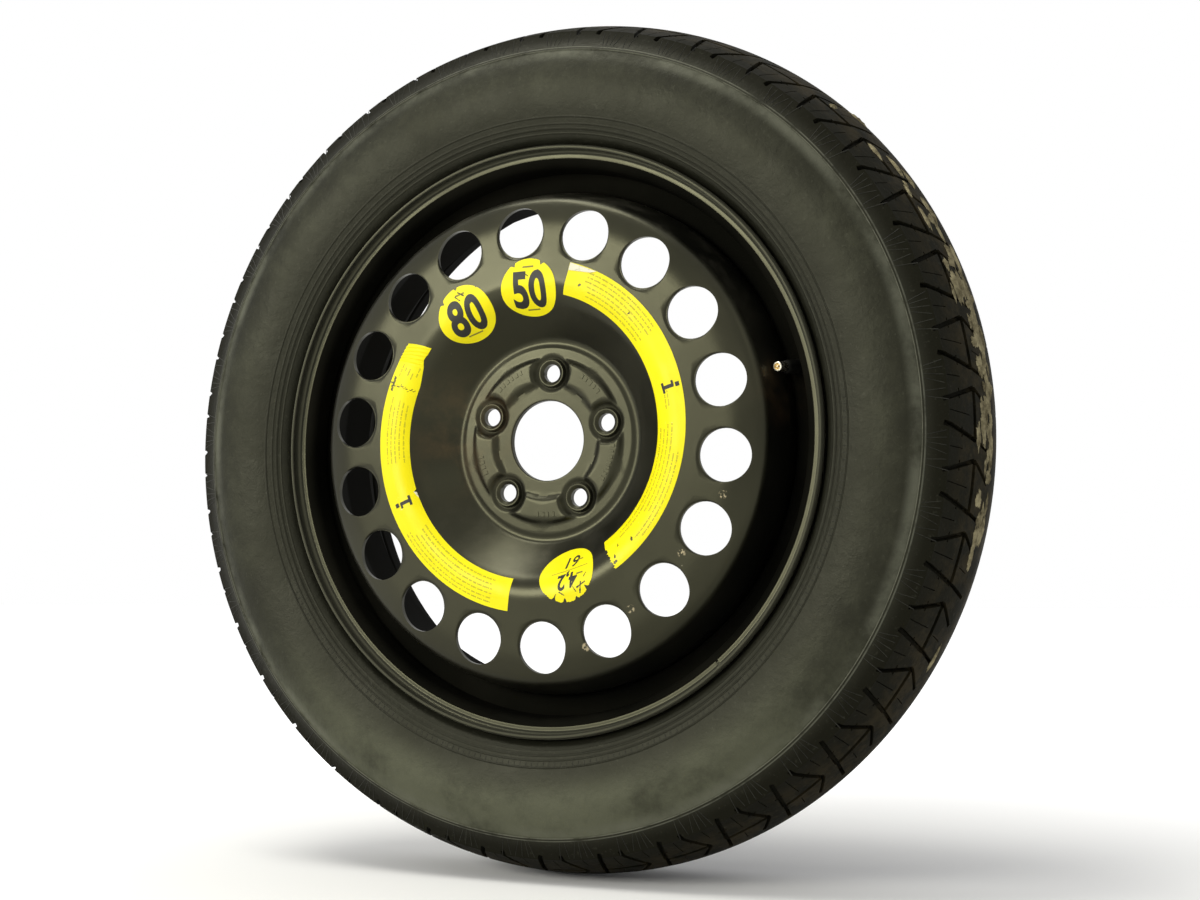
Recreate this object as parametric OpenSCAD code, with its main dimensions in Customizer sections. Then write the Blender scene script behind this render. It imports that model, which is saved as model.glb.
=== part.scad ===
// Temporary-use spare wheel: a narrow pressed-steel wheel with its tyre and valve.
// The axle line is Y. The outboard face, with the dished disc, looks towards -Y.
// The origin is the wheel's centre, where the axle line meets the rim's middle plane.
// Angles round the wheel are clock angles: degrees from the top, clockwise as seen
// from the outboard side.

/* [Rim] */
// Diameter of the bead seats where they meet the flanges
rim_d = 462; // [440:1:480]
// Distance between the two flanges
rim_w = 114.3; // [108:0.1:126]
// Thickness of the rolled strip
rim_t = 2.8; // [2.2:0.1:3.4]
// Height of a flange above its bead seat
flange_h = 14; // [12.5:0.1:16]
// Outside radius of a flange's curl
curl_r = 7.8; // [6:0.1:9]
// Depth of the drop well below the bead seats
well_depth = 18.7; // [16:0.1:22]
// Lean of the outboard wall of the well, from square to the axle
well_lean = 16; // [8:0.5:24]
// Width of one bead seat, up to its hump
seat_w = 20.5; // [18:0.1:24]

/* [Disc] */
// Distance of the hub face outboard of the rim's middle plane
wheel_offset = 47; // [35:0.5:55]
// Thickness of the disc at the hub
hub_t = 6; // [5:0.1:8]
// Thickness of the disc in its outer part
disc_t = 4; // [3:0.1:5]
// Diameter of the centre bore
bore_d = 66.6; // [57:0.1:72]
// Bolt circle diameter
bolt_pcd = 112; // [108:0.5:120]
// Number of bolts
bolt_count = 5; // [4:1:6]
// Diameter of the bolt holes
bolt_hole_d = 14.8; // [12.5:0.1:16]
// Clock angle of the first bolt
bolt_clock = 4.45; // [0:0.05:72]
// Radius of the flat hub area
hub_r = 77; // [74:0.5:82]
// Height of the pressed pads between the bolts
pad_h = 3; // [1.5:0.1:4]
// Depth of the dish, from the crest of the disc to the hub's front
dish_depth = 33.2; // [24:0.1:38]
// Place of the crest, as a share of the way from the hub area to the vent holes
crest_share = 0.424; // [0.36:0.002:0.48]
// Number of vent holes
vent_count = 18; // [12:1:20]
// Diameter of a vent hole
vent_d = 42; // [30:0.5:46]
// Distance from the skirt inwards to the middle of the vent holes
vent_inset = 39.2; // [36:0.1:42]
// Clock angle of the first vent hole
vent_clock = 16.5; // [0:0.1:20]
// Number of weld runs that join the disc to the rim
weld_count = 8; // [4:1:12]
// Length of one weld run round the wheel, in degrees
weld_arc = 24; // [10:1:28]

/* [Tyre] */
// Outside diameter of the tyre
tyre_d = 722; // [700:1:740]
// Width of the tyre across its sidewalls
tyre_w = 157; // [150:0.5:166]
// Width of the tread between its two edges
tread_w = 126; // [116:0.5:134]
// Radius of the crown's curve across the tread
crown_r = 110; // [100:1:130]
// Thickness of the tread with its belts
tread_t = 12.5; // [10:0.1:15]
// Thickness of the sidewall
sidewall_t = 6.5; // [5:0.1:8]
// Number of pattern pitches round the tread
pitch_count = 40; // [30:1:44]
// Depth of the tread grooves
groove_depth = 4.2; // [2:0.1:6]
// Width of the tread grooves
groove_w = 3.4; // [2:0.1:5]

/* [Valve] */
// Clock angle of the valve
valve_clock = 76.3; // [60:0.1:90]
// Diameter of the valve hole in the rim
valve_hole_d = 11.5; // [10.5:0.1:12]
// Length of the valve outside the rim wall
valve_reach = 33.5; // [28:0.5:36]
// Diameter of the cap thread at the valve's end
valve_thread_d = 7.7; // [7:0.1:8.2]
// Length of bare metal at the valve's end
valve_tip_l = 11; // [8:0.5:13]
// Diameter of the valve core's pin
pin_d = 1; // [0.8:0.05:1.2]
// Travel of the pin when it is pressed
pin_travel = 1.5; // [1:0.1:1.8]
// Wire diameter of the core's spring
spring_wire = 0.3; // [0.2:0.05:0.35]

/* [Labels] */
// Thickness of the stickers
label_t = 0.25; // [0.15:0.05:0.4]
// Diameter of the three round stickers
round_label_d = 52; // [46:0.5:54]
// Distance from the crest outwards to the centres of the round stickers
round_label_gap = 0.5; // [-2:0.5:4]
// Width of the curved notice stickers
notice_w = 26.5; // [22:0.5:28]
// Distance from the crest outwards to the outer edge of the left notice sticker
notice_gap = 22; // [18:0.5:24]
// How far the right notice sticker sits above the axle
notice_rise = 7.6; // [0:0.1:9]

/* [Hidden] */
$fn = 120;
CUT = 1; // how far a cutting shape runs past what it cuts

// Rim section
rim_r = rim_d / 2;
flange_y = rim_w / 2;
flange_r = rim_r + flange_h;
well_r = rim_r - well_depth;
curl_end = 4.2;      // how far the lip reaches past the curl
lip_drop = 1.2;      // how far the lip turns back towards the axle
corner_r = 6;        // fillet between bead seat and flange
seat_taper = 5;      // taper of the bead seats in degrees
hump_h = 1.3;
well_corner_r = 3;
hump_tail = 4;       // from a hump's crest to the wall of the well
wall_foot_y = -(flange_y - seat_w - hump_tail) + well_depth * tan(well_lean);
well_end_y = 4;      // inboard end of the well's floor
ledge_r = well_r + 8;
ledge_y = well_end_y + 6;

// Disc section
hub_front_y = -wheel_offset - hub_t;
crest_y = hub_front_y - dish_depth;
skirt_r = well_r - rim_t;
skirt_end_y = well_end_y - 7;
valley_r = hub_r + 6;
valley_y = hub_front_y + 2.2;
vent_r = skirt_r - vent_inset;
crest_r = valley_r + crest_share * (vent_r - valley_r);
brow_r = vent_r + 8;           // the face starts to bend back here
brow_y = crest_y + 4.2;
edge_r = skirt_r - 10;
edge_y = brow_y + 5.8;
skirt_start_y = edge_y + 34;
hub_cut_r = (hub_r + valley_r) / 2;            // the hub's node ends here
skirt_cut_y = (edge_y + skirt_start_y) / 2;    // the skirt's node starts here
bolt_r = bolt_pcd / 2;
bolt_hole_r = bolt_hole_d / 2;
recess_r = bolt_hole_r + 7;    // floor of the round recess at each bolt
recess_depth = 1;
collar_r = bolt_hole_r + 4.4;
collar_h = 1.6;                // of the seat's collar above the hub's front
land_r = bolt_r - 9;           // central land inside the pads
pad_out_r = bolt_r + 12;
pad_slope = 2.4;               // width of a pad's sloping flank

// Tyre section
tyre_r = tyre_d / 2;
side_y = tyre_w / 2;
edge_a = asin(tread_w / 2 / crown_r);
tread_edge_r = tyre_r - crown_r + crown_r * cos(edge_a);
shoulder_y = side_y - 7;
toe_y = flange_y - seat_w + 3.6;
pitch_a = 360 / pitch_count;

// Stickers
round_label_r = crest_r + round_label_gap;
notice_r = crest_r + notice_gap;

// Valve: heights are along its own axis, from the rim wall's inner surface
valve_r = rim_r - 0.56 * well_depth;
valve_y = wall_foot_y - (valve_r - well_r) * tan(well_lean);
tip_start = valve_reach - valve_tip_l;
stem_bore_d = 5.3;
core_seat_z = tip_start - 2;
pin_top_z = valve_reach - 0.2;
core_top_z = pin_top_z - pin_travel - 0.3;   // the pin can be pressed flush
core_d = 4.8;
core_hole_d = pin_d + 0.5;
spring_d = 2.6;
spring_room_d = 3.4;
spring_low_z = core_seat_z + 1.6;
spring_high_z = core_top_z - 2.6;
cup_z = core_seat_z - 1.7;

// Smallest helpers: unit vector and left-hand normal of a segment
function unit(v) = v / norm(v);
function left(a, b) = let (d = unit(b - a)) [-d[1], d[0]];

// Where the lines p + s*d and q + u*e cross, or q where they run alike
function meet(p, d, q, e) = abs(cross(d, e)) < 0.0001 ? q : p + d * cross(q - p, e) / cross(d, e);

// An arc of n steps that rounds the corner b between a and c
function corner_arc(a, b, c, r, n) =
    let (u = unit(a - b), v = unit(c - b), half = acos(max(-1, min(1, u * v))) / 2)
    (r < 0.01 || half > 89.5) ? [b] :
    let (m = b + unit(u + v) * r / sin(half),
         p = b + u * r / tan(half) - m,
         q = b + v * r / tan(half) - m,
         a0 = atan2(p[1], p[0]),
         turn = atan2(cross(p, q), p * q))
    [for (i = [0:n]) m + r * [cos(a0 + turn * i / n), sin(a0 + turn * i / n)]];

// A path with its corners rounded; each vertex is [r, y, corner radius]
function rounded(path, n = 6) =
    let (xy = [for (v = path) [v[0], v[1]]], last = len(path) - 1)
    [for (i = [0:last])
        each (i == 0 || i == last) ? [xy[i]] : corner_arc(xy[i - 1], xy[i], xy[i + 1], path[i][2], n)];

// The same path moved to its left by t[i] along segment i; corner radii follow
function shifted(path, t) =
    let (xy = [for (v = path) [v[0], v[1]]], last = len(path) - 1)
    [for (i = [0:last])
        i == 0 ? concat(xy[0] + left(xy[0], xy[1]) * t[0], [0]) :
        i == last ? concat(xy[last] + left(xy[last - 1], xy[last]) * t[last - 1], [0]) :
        let (n0 = left(xy[i - 1], xy[i]), n1 = left(xy[i], xy[i + 1]),
             p = meet(xy[i - 1] + n0 * t[i - 1], unit(xy[i] - xy[i - 1]),
                      xy[i] + n1 * t[i], unit(xy[i + 1] - xy[i])),
             turn = cross(xy[i] - xy[i - 1], xy[i + 1] - xy[i]),
             r = path[i][2] - (turn > 0 ? 1 : -1) * (t[i - 1] + t[i]) / 2)
        concat(p, [path[i][2] == 0 ? 0 : max(0.3, r)])];

function reversed(list) = [for (i = [len(list) - 1:-1:0]) list[i]];

// Outline of a bent sheet: the path on one side, its shifted copy on the other
function sheet_outline(path, t, n = 6) =
    concat(rounded(path, n), reversed(rounded(shifted(path, t), n)));

// Smooth curve through the points (Catmull-Rom), n steps between neighbours
function smooth(p, n = 4) =
    let (last = len(p) - 1)
    [for (i = [0:last - 1], k = [0:n - 1])
        let (a = p[max(i - 1, 0)], b = p[i], c = p[i + 1], d = p[min(i + 2, last)], s = k / n)
        0.5 * (2 * b + (c - a) * s + (2 * a - 5 * b + 4 * c - d) * s * s
               + (3 * b - a - 3 * c + d) * s * s * s),
     p[last]];

function mirrored(list) = [for (v = list) [v[0], -v[1]]];

// Turns an [r, y] outline round the axle
module revolve(outline) rotate([-90, 0, 0]) rotate_extrude() polygon(outline);

// Puts a shape that points along +X at a clock angle, and an axial hole on a circle
module at_clock(a) rotate([0, a - 90, 0]) children();
module axial(r, a, y0) at_clock(a) translate([r, y0, 0]) rotate([-90, 0, 0]) children();

// Rim: one strip rolled to a 5 degree drop-centre section and butt welded
half_rim = [
    [flange_r - lip_drop, -flange_y - curl_r - curl_end, 0],
    [flange_r, -flange_y - curl_r - curl_end / 2, 3.2],
    [flange_r, -flange_y, curl_r],
    [rim_r, -flange_y, corner_r],
    [rim_r - (seat_w - 3) * tan(seat_taper), -flange_y + seat_w - 3, 2],
    [rim_r - seat_w * tan(seat_taper) + hump_h, -flange_y + seat_w, 2]];
rim_path = concat(half_rim,
    [[rim_r - 1.6, wall_foot_y - (rim_r - 1.6 - well_r) * tan(well_lean), well_corner_r],
     [well_r, wall_foot_y, well_corner_r],
     [well_r, well_end_y, 6],
     [ledge_r, ledge_y, 7],
     [rim_r - 2.4, flange_y - seat_w - 4, 8]],
    [for (v = reversed(half_rim)) [v[0], -v[1], v[2]]]);

module rim() color([0.13, 0.13, 0.12]) difference() {
    revolve(sheet_outline(rim_path, [for (v = rim_path) rim_t]));
    valve_frame() translate([0, 0, -CUT]) cylinder(d = valve_hole_d, h = rim_t + 2 * CUT);
}

// Disc: one pressing with a flat hub, a dished wall, a crowned vent ring and a skirt
face_path = [
    [bore_d / 2, hub_front_y, 0],
    [hub_r, hub_front_y, 3],
    [valley_r, valley_y, 6],
    [crest_r, crest_y, 28],
    [brow_r, brow_y, 60],
    [edge_r, edge_y, 13],
    [skirt_r, skirt_start_y, 20],
    [skirt_r, skirt_end_y, 0]];
face_t = [hub_t, hub_t, (hub_t + disc_t) / 2, disc_t, disc_t, disc_t, disc_t, disc_t];

// A ring of pads with sloping flanks, cut through round each bolt
module pad_ring(r0, r1, base_y, height, bolt_gap) difference() {
    revolve([[r0, base_y], [r0 + pad_slope, base_y - height], [r1 - pad_slope, base_y - height],
             [r1, base_y]]);
    for (i = [0:bolt_count - 1])
        axial(bolt_r, bolt_clock + i * 360 / bolt_count, base_y - height - CUT)
            cylinder(r1 = bolt_gap + height, r2 = bolt_gap - CUT, h = height + 2 * CUT);
}

module bolt_recess() translate([0, 0, -pad_h - CUT])
    cylinder(r1 = recess_r + pad_h + CUT, r2 = recess_r - recess_depth, h = pad_h + CUT + recess_depth);

module bolt_collar() translate([0, 0, -collar_h])
    cylinder(r1 = collar_r - 0.8, r2 = collar_r + 0.4, h = collar_h + recess_depth + 0.5);

module bolt_hole() {
    translate([0, 0, -collar_h - CUT]) cylinder(r = bolt_hole_r, h = hub_t + collar_h + 2 * CUT);
    translate([0, 0, -collar_h - 0.01])
        cylinder(r1 = bolt_hole_r + 2.6, r2 = bolt_hole_r - 0.01, h = collar_h + 1.6);
}

module at_bolts() for (i = [0:bolt_count - 1])
    axial(bolt_r, bolt_clock + i * 360 / bolt_count, hub_front_y) children();

// The pressing is one piece of steel, held as three nodes that meet face to face, so that
// collision stays open over the hub and behind the vents
module sheet() revolve(sheet_outline(face_path, face_t));

module skirt_room() axial(0, 0, skirt_cut_y) difference() {
    cylinder(r = skirt_r + CUT, h = skirt_end_y - skirt_cut_y + CUT);
    translate([0, 0, -CUT]) cylinder(r = vent_r, h = skirt_end_y - skirt_cut_y + 3 * CUT);
}

module hub_room() axial(0, 0, hub_front_y - pad_h - CUT)
    cylinder(r = hub_cut_r, h = pad_h + 2 * hub_t + 2 * CUT);

module disc_hub() color([0.14, 0.14, 0.13]) difference() {
    union() {
        difference() {
            union() {
                intersection() {
                    sheet();
                    hub_room();
                }
                pad_ring(land_r, pad_out_r, hub_front_y, pad_h, recess_r);
            }
            at_bolts() bolt_recess();
        }
        at_bolts() bolt_collar();
    }
    pad_ring(land_r + 2.6, pad_out_r - 1.1, -wheel_offset + 0.5, pad_h + 0.5, recess_r + 1);
    at_bolts() bolt_hole();
}

module disc() color([0.14, 0.14, 0.13]) difference() {
    sheet();
    hub_room();
    skirt_room();
    for (i = [0:vent_count - 1])
        axial(vent_r, vent_clock + i * 360 / vent_count, crest_y - 5) cylinder(d = vent_d, h = 40);
}

module disc_skirt() color([0.14, 0.14, 0.13]) intersection() {
    sheet();
    skirt_room();
}

// Welds: short fillet runs in the corner between the skirt's end and the well
module disc_welds() color([0.2, 0.19, 0.18]) for (i = [0:weld_count - 1])
    rotate([0, i * 360 / weld_count, 0]) rotate([-90, 0, 0])
        rotate_extrude(angle = weld_arc)
            polygon([[skirt_r, skirt_end_y], [skirt_r - disc_t + 0.4, skirt_end_y],
                     [skirt_r - 1.6, skirt_end_y + 1.7], [skirt_r, skirt_end_y + disc_t]]);

// Tyre: one moulded casing, hollow, with its tread pattern cut in
tread_arc = [for (i = [0:8]) let (a = edge_a * i / 8)
    [tyre_r - crown_r + crown_r * cos(a), crown_r * sin(a)]];

// Radius at a share of the way up the sidewall, outside and inside
function wall(share) = flange_r + 7 + share * (tread_edge_r - flange_r - 7);
function liner(share) = rim_r + 21 + share * (tread_edge_r - rim_r - 25);

sidewall = smooth([
    [tread_edge_r, tread_w / 2],
    [wall(0.9), (tread_w / 2 + shoulder_y) / 2 + 0.2],
    [wall(0.8), shoulder_y],
    [wall(0.655), side_y - 2.2],
    [wall(0.485), side_y],
    [wall(0.29), side_y - 1.3],
    [wall(0.1), side_y - 5.4],
    [wall(0), side_y - 9.4],
    [flange_r + 2.6, side_y - 14]], 3);
bead = [
    [flange_r + 0.4, flange_y + 3.2],
    [flange_r - 3.4, flange_y + 0.3],
    [flange_r - curl_r + 1, flange_y],
    [rim_r + corner_r + 0.3, flange_y],
    [rim_r + 2.3, flange_y - 2],
    [rim_r - (corner_r + 1) * tan(seat_taper), flange_y - corner_r - 1],
    [rim_r - (flange_y - toe_y) * tan(seat_taper), toe_y]];
inside = smooth([
    [rim_r + 5, toe_y - 0.8],
    [rim_r + 12, toe_y + 4],
    [liner(0), shoulder_y - 15.5],
    [liner(0.13), side_y - 2 * sidewall_t - 0.5],
    [liner(0.33), side_y - sidewall_t - 1.4],
    [liner(0.505), side_y - sidewall_t],
    [liner(0.705), side_y - sidewall_t - 3],
    [liner(0.88), shoulder_y - sidewall_t - 3.5],
    [liner(1), tread_w / 2 - tread_t],
    [tyre_r - tread_t - 4.3, tread_w / 4],
    [tyre_r - tread_t - 1.1, tread_w / 8],
    [tyre_r - tread_t, 0]], 3);
half_tyre = concat(tread_arc, sidewall, bead, inside);

// Raised rings moulded on the sidewall: [radius, width, height]
ribs = [[wall(0.81), 2.4, 0.9], [wall(0.135), 5.6, 0.6]];

module sidewall_rib(rib, side) {
    y = lookup(rib[0], reversed(sidewall));
    revolve([for (p = [[-rib[1] / 2 - 0.5, -2], [-rib[1] / 2, rib[2]], [rib[1] / 2, rib[2]],
                       [rib[1] / 2 + 0.5, -2]]) [rib[0] + p[0], side * (y + p[1])]]);
}

// A straight cutter laid in the tread: a is its place across the crown, in degrees of the
// crown's curve; length runs across the tread, turned by skew towards the running direction
module groove(a, length, skew, width = groove_w)
    translate([tyre_r - crown_r, 0, 0]) rotate([0, 0, a]) translate([crown_r - groove_depth, 0, 0])
        rotate([skew, 0, 0]) translate([0, -length / 2, -width / 2])
            cube([groove_depth + 3, length, width]);

ring_a = asin(33 / crown_r);                  // place of the broken ring groove
slot_a = (ring_a + edge_a + 4) / 2;           // middle of the shoulder slots
slot_l = crown_r * (edge_a + 4 - ring_a) * PI / 180;
rib_a = ring_a / 2 + 2;

module tread_pitch() {
    at_clock(0.1 * pitch_a) groove(slot_a, slot_l, 17);
    at_clock(0.555 * pitch_a) groove(slot_a, slot_l, -13);
    at_clock(0.84 * pitch_a) groove(ring_a, groove_w, 0, 0.7 * pitch_a * tyre_r * PI / 180);
    at_clock(0.12 * pitch_a) groove(rib_a, 24, -24, groove_w * 0.8);
    at_clock(0.56 * pitch_a) groove(rib_a, 24, 20, groove_w * 0.8);
}

module tyre() color([0.12, 0.12, 0.11]) difference() {
    union() {
        revolve(concat(half_tyre, reversed(mirrored(half_tyre))));
        for (rib = ribs, side = [-1, 1]) sidewall_rib(rib, side);
    }
    for (i = [0:pitch_count - 1]) {
        rotate([0, i * pitch_a, 0]) mirror([0, 1, 0]) tread_pitch();
        rotate([0, (i + 0.5) * pitch_a, 0]) tread_pitch();
    }
}

// Valve: its own Z runs out of the rim wall, starting at the wall's inner surface
module valve_frame()
    at_clock(valve_clock) translate([valve_r, valve_y, 0]) rotate([0, 0, -well_lean])
        rotate([90, 0, 0]) children();

module valve_body() color([0.06, 0.06, 0.06]) valve_frame() rotate_extrude() polygon([
    [2.9, -9], [4.6, -9], [5.8, -7.5], [7.4, -2.4], [valve_hole_d / 2 + 0.5, -0.06],
    [valve_hole_d / 2, -0.06], [valve_hole_d / 2, rim_t + 0.06], [valve_hole_d / 2 + 0.5, rim_t + 0.06],
    [6.9, rim_t + 2.2], [6.2, rim_t + 5], [valve_thread_d / 2 + 1.6, tip_start - 1.5],
    [valve_thread_d / 2 + 0.9, tip_start], [2.9, tip_start]]);

module valve_stem() color([0.78, 0.77, 0.72]) valve_frame() difference() {
    rotate_extrude() polygon([
        [0, -9.6], [2.9, -9.6], [2.9, tip_start], [valve_thread_d / 2 - 0.6, tip_start],
        [valve_thread_d / 2, tip_start + 1.2], [valve_thread_d / 2, valve_reach - 0.5],
        [valve_thread_d / 2 - 0.5, valve_reach], [0, valve_reach]]);
    translate([0, 0, -9.6 - CUT]) cylinder(d = 3.4, h = valve_reach + 9.6);
    translate([0, 0, core_seat_z - 1]) cylinder(d1 = 3.4, d2 = stem_bore_d, h = 2);
    translate([0, 0, core_seat_z + 1]) cylinder(d = stem_bore_d, h = valve_reach);
}

module core_housing() color([0.72, 0.58, 0.3]) valve_frame() difference() {
    rotate_extrude() polygon([
        [0, core_seat_z - 1.2], [1.5, core_seat_z - 1.2], [1.5, core_seat_z + 0.2],
        [1.7, core_seat_z + 0.2], [1.7, core_seat_z + 1], [2.1, core_seat_z + 1.4],
        [2.1, core_top_z - 5], [core_d / 2 + 0.25, core_top_z - 4.6],
        [core_d / 2 + 0.25, core_top_z - 1], [core_d / 2 - 0.7, core_top_z - 0.9],
        [core_d / 2 - 0.7, core_top_z], [0, core_top_z]]);
    translate([0, 0, core_seat_z - 2]) cylinder(d = core_hole_d, h = valve_reach);
    translate([0, 0, spring_low_z]) cylinder(d = spring_room_d, h = spring_high_z - spring_low_z);
    translate([-3, -0.9, core_top_z - 0.8]) cube([6, 1.8, 2]);
}

module core_seal() color([0.75, 0.2, 0.15]) valve_frame() rotate_extrude() polygon([
    [1.7, core_seat_z + 0.2], [1.72, core_seat_z + 0.2], [2.5, core_seat_z + 1],
    [2.6, core_seat_z + 1.4], [2.1, core_seat_z + 1.4], [1.7, core_seat_z + 1]]);

module core_pin() color([0.8, 0.78, 0.7]) valve_frame() {
    translate([0, 0, cup_z - 0.6]) cylinder(d = pin_d, h = pin_top_z - cup_z + 0.6);
    translate([0, 0, pin_top_z - 0.5]) cylinder(d = pin_d + 0.35, h = 0.5);
    translate([0, 0, spring_high_z - 0.4]) cylinder(d = pin_d + 1.2, h = 0.3);
}

module core_cup() color([0.72, 0.58, 0.3]) valve_frame() difference() {
    translate([0, 0, cup_z - 0.5]) cylinder(d = 2.8, h = 0.95);
    translate([0, 0, cup_z - 0.2]) cylinder(d = 2.4, h = 2);
    translate([0, 0, cup_z - 2]) cylinder(d = pin_d, h = 4);
}

module core_cup_seal() color([0.06, 0.06, 0.06]) valve_frame() difference() {
    translate([0, 0, cup_z - 0.2]) cylinder(d = 2.4, h = 0.7);
    translate([0, 0, cup_z - 2]) cylinder(d = pin_d, h = 4);
}

// Wire of the spring: rings of wire_sides points along the turns, closed at both ends
spring_turns = 7;
spring_steps = 12 * spring_turns;
wire_sides = 6;
spring_points = [for (i = [0:spring_steps], k = [0:wire_sides - 1])
    let (turn = 360 * spring_turns * i / spring_steps,
         r = (spring_d - spring_wire) / 2 + spring_wire / 2 * cos(360 * k / wire_sides),
         z = spring_low_z + spring_wire / 2 + 0.02
             + (spring_high_z - 0.45 - spring_wire - spring_low_z) * i / spring_steps)
    [r * cos(turn), r * sin(turn), z + spring_wire / 2 * sin(360 * k / wire_sides)]];
spring_faces = concat(
    [for (i = [0:spring_steps - 1], k = [0:wire_sides - 1])
        let (a = i * wire_sides, next = (k + 1) % wire_sides)
        [a + k, a + wire_sides + k, a + wire_sides + next, a + next]],
    [[for (k = [0:wire_sides - 1]) k]],
    [[for (k = [wire_sides - 1:-1:0]) spring_steps * wire_sides + k]]);

module core_spring() color([0.8, 0.8, 0.8]) valve_frame() polyhedron(spring_points, spring_faces);

// Stickers: thin skins that lie on the front of the disc
sticker_start_y = crest_y - 5;
sticker_reach = valley_y - sticker_start_y + 5;
module skin() revolve(sheet_outline(face_path, [for (t = face_t) -label_t]));

module label(r, a) intersection() {
    skin();
    axial(r, a, sticker_start_y) children();
}

// A curved strip between two clock angles; it may be centred off the axle by shift
module notice_strip(r1, width, a0, a1, shift = [0, 0]) intersection() {
    skin();
    translate([shift[0], sticker_start_y, shift[1]]) rotate([0, a0 - 90, 0]) rotate([-90, 0, 0])
        rotate_extrude(angle = a1 - a0) translate([r1 - width, 0]) square([width, sticker_reach]);
}

module label_speed_80() color([0.93, 0.88, 0.12])
    label(round_label_r, 330) cylinder(d = round_label_d, h = sticker_reach);
module label_speed_50() color([0.93, 0.88, 0.12])
    label(round_label_r + 1.5, 359.3) cylinder(d = round_label_d, h = sticker_reach);
module label_pressure() color([0.93, 0.88, 0.12])
    label(round_label_r - 2.5, 163.7) cylinder(d = round_label_d, h = sticker_reach);
module label_notice_left() color([0.93, 0.88, 0.12])
    notice_strip(notice_r, notice_w, 188, 309.5);
module label_notice_right() color([0.93, 0.88, 0.12])
    notice_strip(notice_r - 3, notice_w, 16, 146, [-1.3, notice_rise]);

rim();
disc_hub();
disc();
disc_skirt();
disc_welds();
tyre();
valve_body();
valve_stem();
core_housing();
core_seal();
core_pin();
core_cup();
core_cup_seal();
core_spring();
label_speed_80();
label_speed_50();
label_pressure();
label_notice_left();
label_notice_right();
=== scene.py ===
# %% [markdown]
# # Space saver spare wheel
# A narrow emergency wheel stands upright on a pale floor. Its steel disc and rim are dipped in
# black paint, five yellow stickers lie on the dish, and the tyre has a worn, dusty tread.
# The CAD model gives every size and place. Here the big pressed and moulded pieces get finer
# meshes on the same sections, and every piece gets its finish from procedural nodes.

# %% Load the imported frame
import math

import bmesh
import bpy
import numpy as np
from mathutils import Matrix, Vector


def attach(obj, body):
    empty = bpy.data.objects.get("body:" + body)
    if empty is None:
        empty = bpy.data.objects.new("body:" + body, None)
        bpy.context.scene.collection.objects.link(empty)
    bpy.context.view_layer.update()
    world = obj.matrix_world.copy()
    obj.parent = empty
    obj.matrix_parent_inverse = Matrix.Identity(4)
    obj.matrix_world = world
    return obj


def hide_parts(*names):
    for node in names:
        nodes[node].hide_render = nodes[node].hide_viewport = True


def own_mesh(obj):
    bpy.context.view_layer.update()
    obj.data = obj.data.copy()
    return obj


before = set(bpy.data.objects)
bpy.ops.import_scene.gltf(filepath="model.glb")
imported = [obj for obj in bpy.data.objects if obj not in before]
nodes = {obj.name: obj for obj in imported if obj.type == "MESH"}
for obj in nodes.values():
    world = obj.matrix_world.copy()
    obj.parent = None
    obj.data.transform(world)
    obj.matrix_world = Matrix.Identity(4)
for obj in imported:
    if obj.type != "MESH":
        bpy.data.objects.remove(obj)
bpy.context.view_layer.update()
MM = 0.001

# %% [markdown]
# ## Camera
# The camera stands low, a little to the right of the wheel's face, and looks slightly upwards.
# Its place was solved from the circle of vent holes and the bolt holes, which are known rings,
# so the wheel's perspective matches the photograph. It is given as a place in metres, an angle
# round the wheel and a height angle, because those are easy to read and to change.

# %% Camera
CAMERA_AZIMUTH = 25.350
CAMERA_ELEVATION = -4.441
CAMERA_AT = Vector((0.692735, -1.413292, -0.127748))
LENS = 55.43
SENSOR_WIDTH = 36
LENS_SHIFT = (0.0002, 0.0014)


def add_object(name, data):
    """A new object with this mesh, curve, lamp or camera, linked into the scene."""
    made = bpy.data.objects.new(name, data)
    bpy.context.scene.collection.objects.link(made)
    return made


camera_data = bpy.data.cameras.new("photo_camera")
camera_data.sensor_width = SENSOR_WIDTH
camera_data.lens = LENS
camera_data.shift_x, camera_data.shift_y = LENS_SHIFT
camera = add_object("photo_camera", camera_data)
azimuth, elevation = math.radians(CAMERA_AZIMUTH), math.radians(CAMERA_ELEVATION)
camera_back = Vector((math.sin(azimuth) * math.cos(elevation),
                      -math.cos(azimuth) * math.cos(elevation),
                      math.sin(elevation)))
camera.location = CAMERA_AT
camera.rotation_mode = "QUATERNION"
camera.rotation_quaternion = (-camera_back).to_track_quat("-Z", "Y")
bpy.context.scene.camera = camera
print("camera back direction", [round(v, 4) for v in camera_back])

# %% [markdown]
# ## Floor and light
# A wheel painted black shows little colour of its own: what we see on it is mostly the lamps
# mirrored in the paint. One soft panel hangs above it, a larger one stands in front at the
# left and lights the tyre's wall, and a weak one at the right reaches the tread. The floor is
# pale and takes the shadow. Away from the wheel it glows a little, so that it fades into the
# white background as on a product photograph.

# %% Floor and world values
FLOOR_Z = -0.361
FLOOR_REACH = 30
GLOW_START = 0.32
GLOW_END = 1.3
GLOW_MOST = 0.6
WORLD_LIGHT = 0.55
PANEL_COLOUR = (1, 0.985, 0.9)
print("the floor lies at", FLOOR_Z, "m and glows from", GLOW_START, "m outwards")

# %% Floor, world and lamps


def node_material(name):
    """A new material with its shader, ready for nodes to be linked in."""
    material = bpy.data.materials.new(name)
    material.use_nodes = True
    tree = material.node_tree
    return material, tree, tree.nodes["Principled BSDF"]


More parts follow.
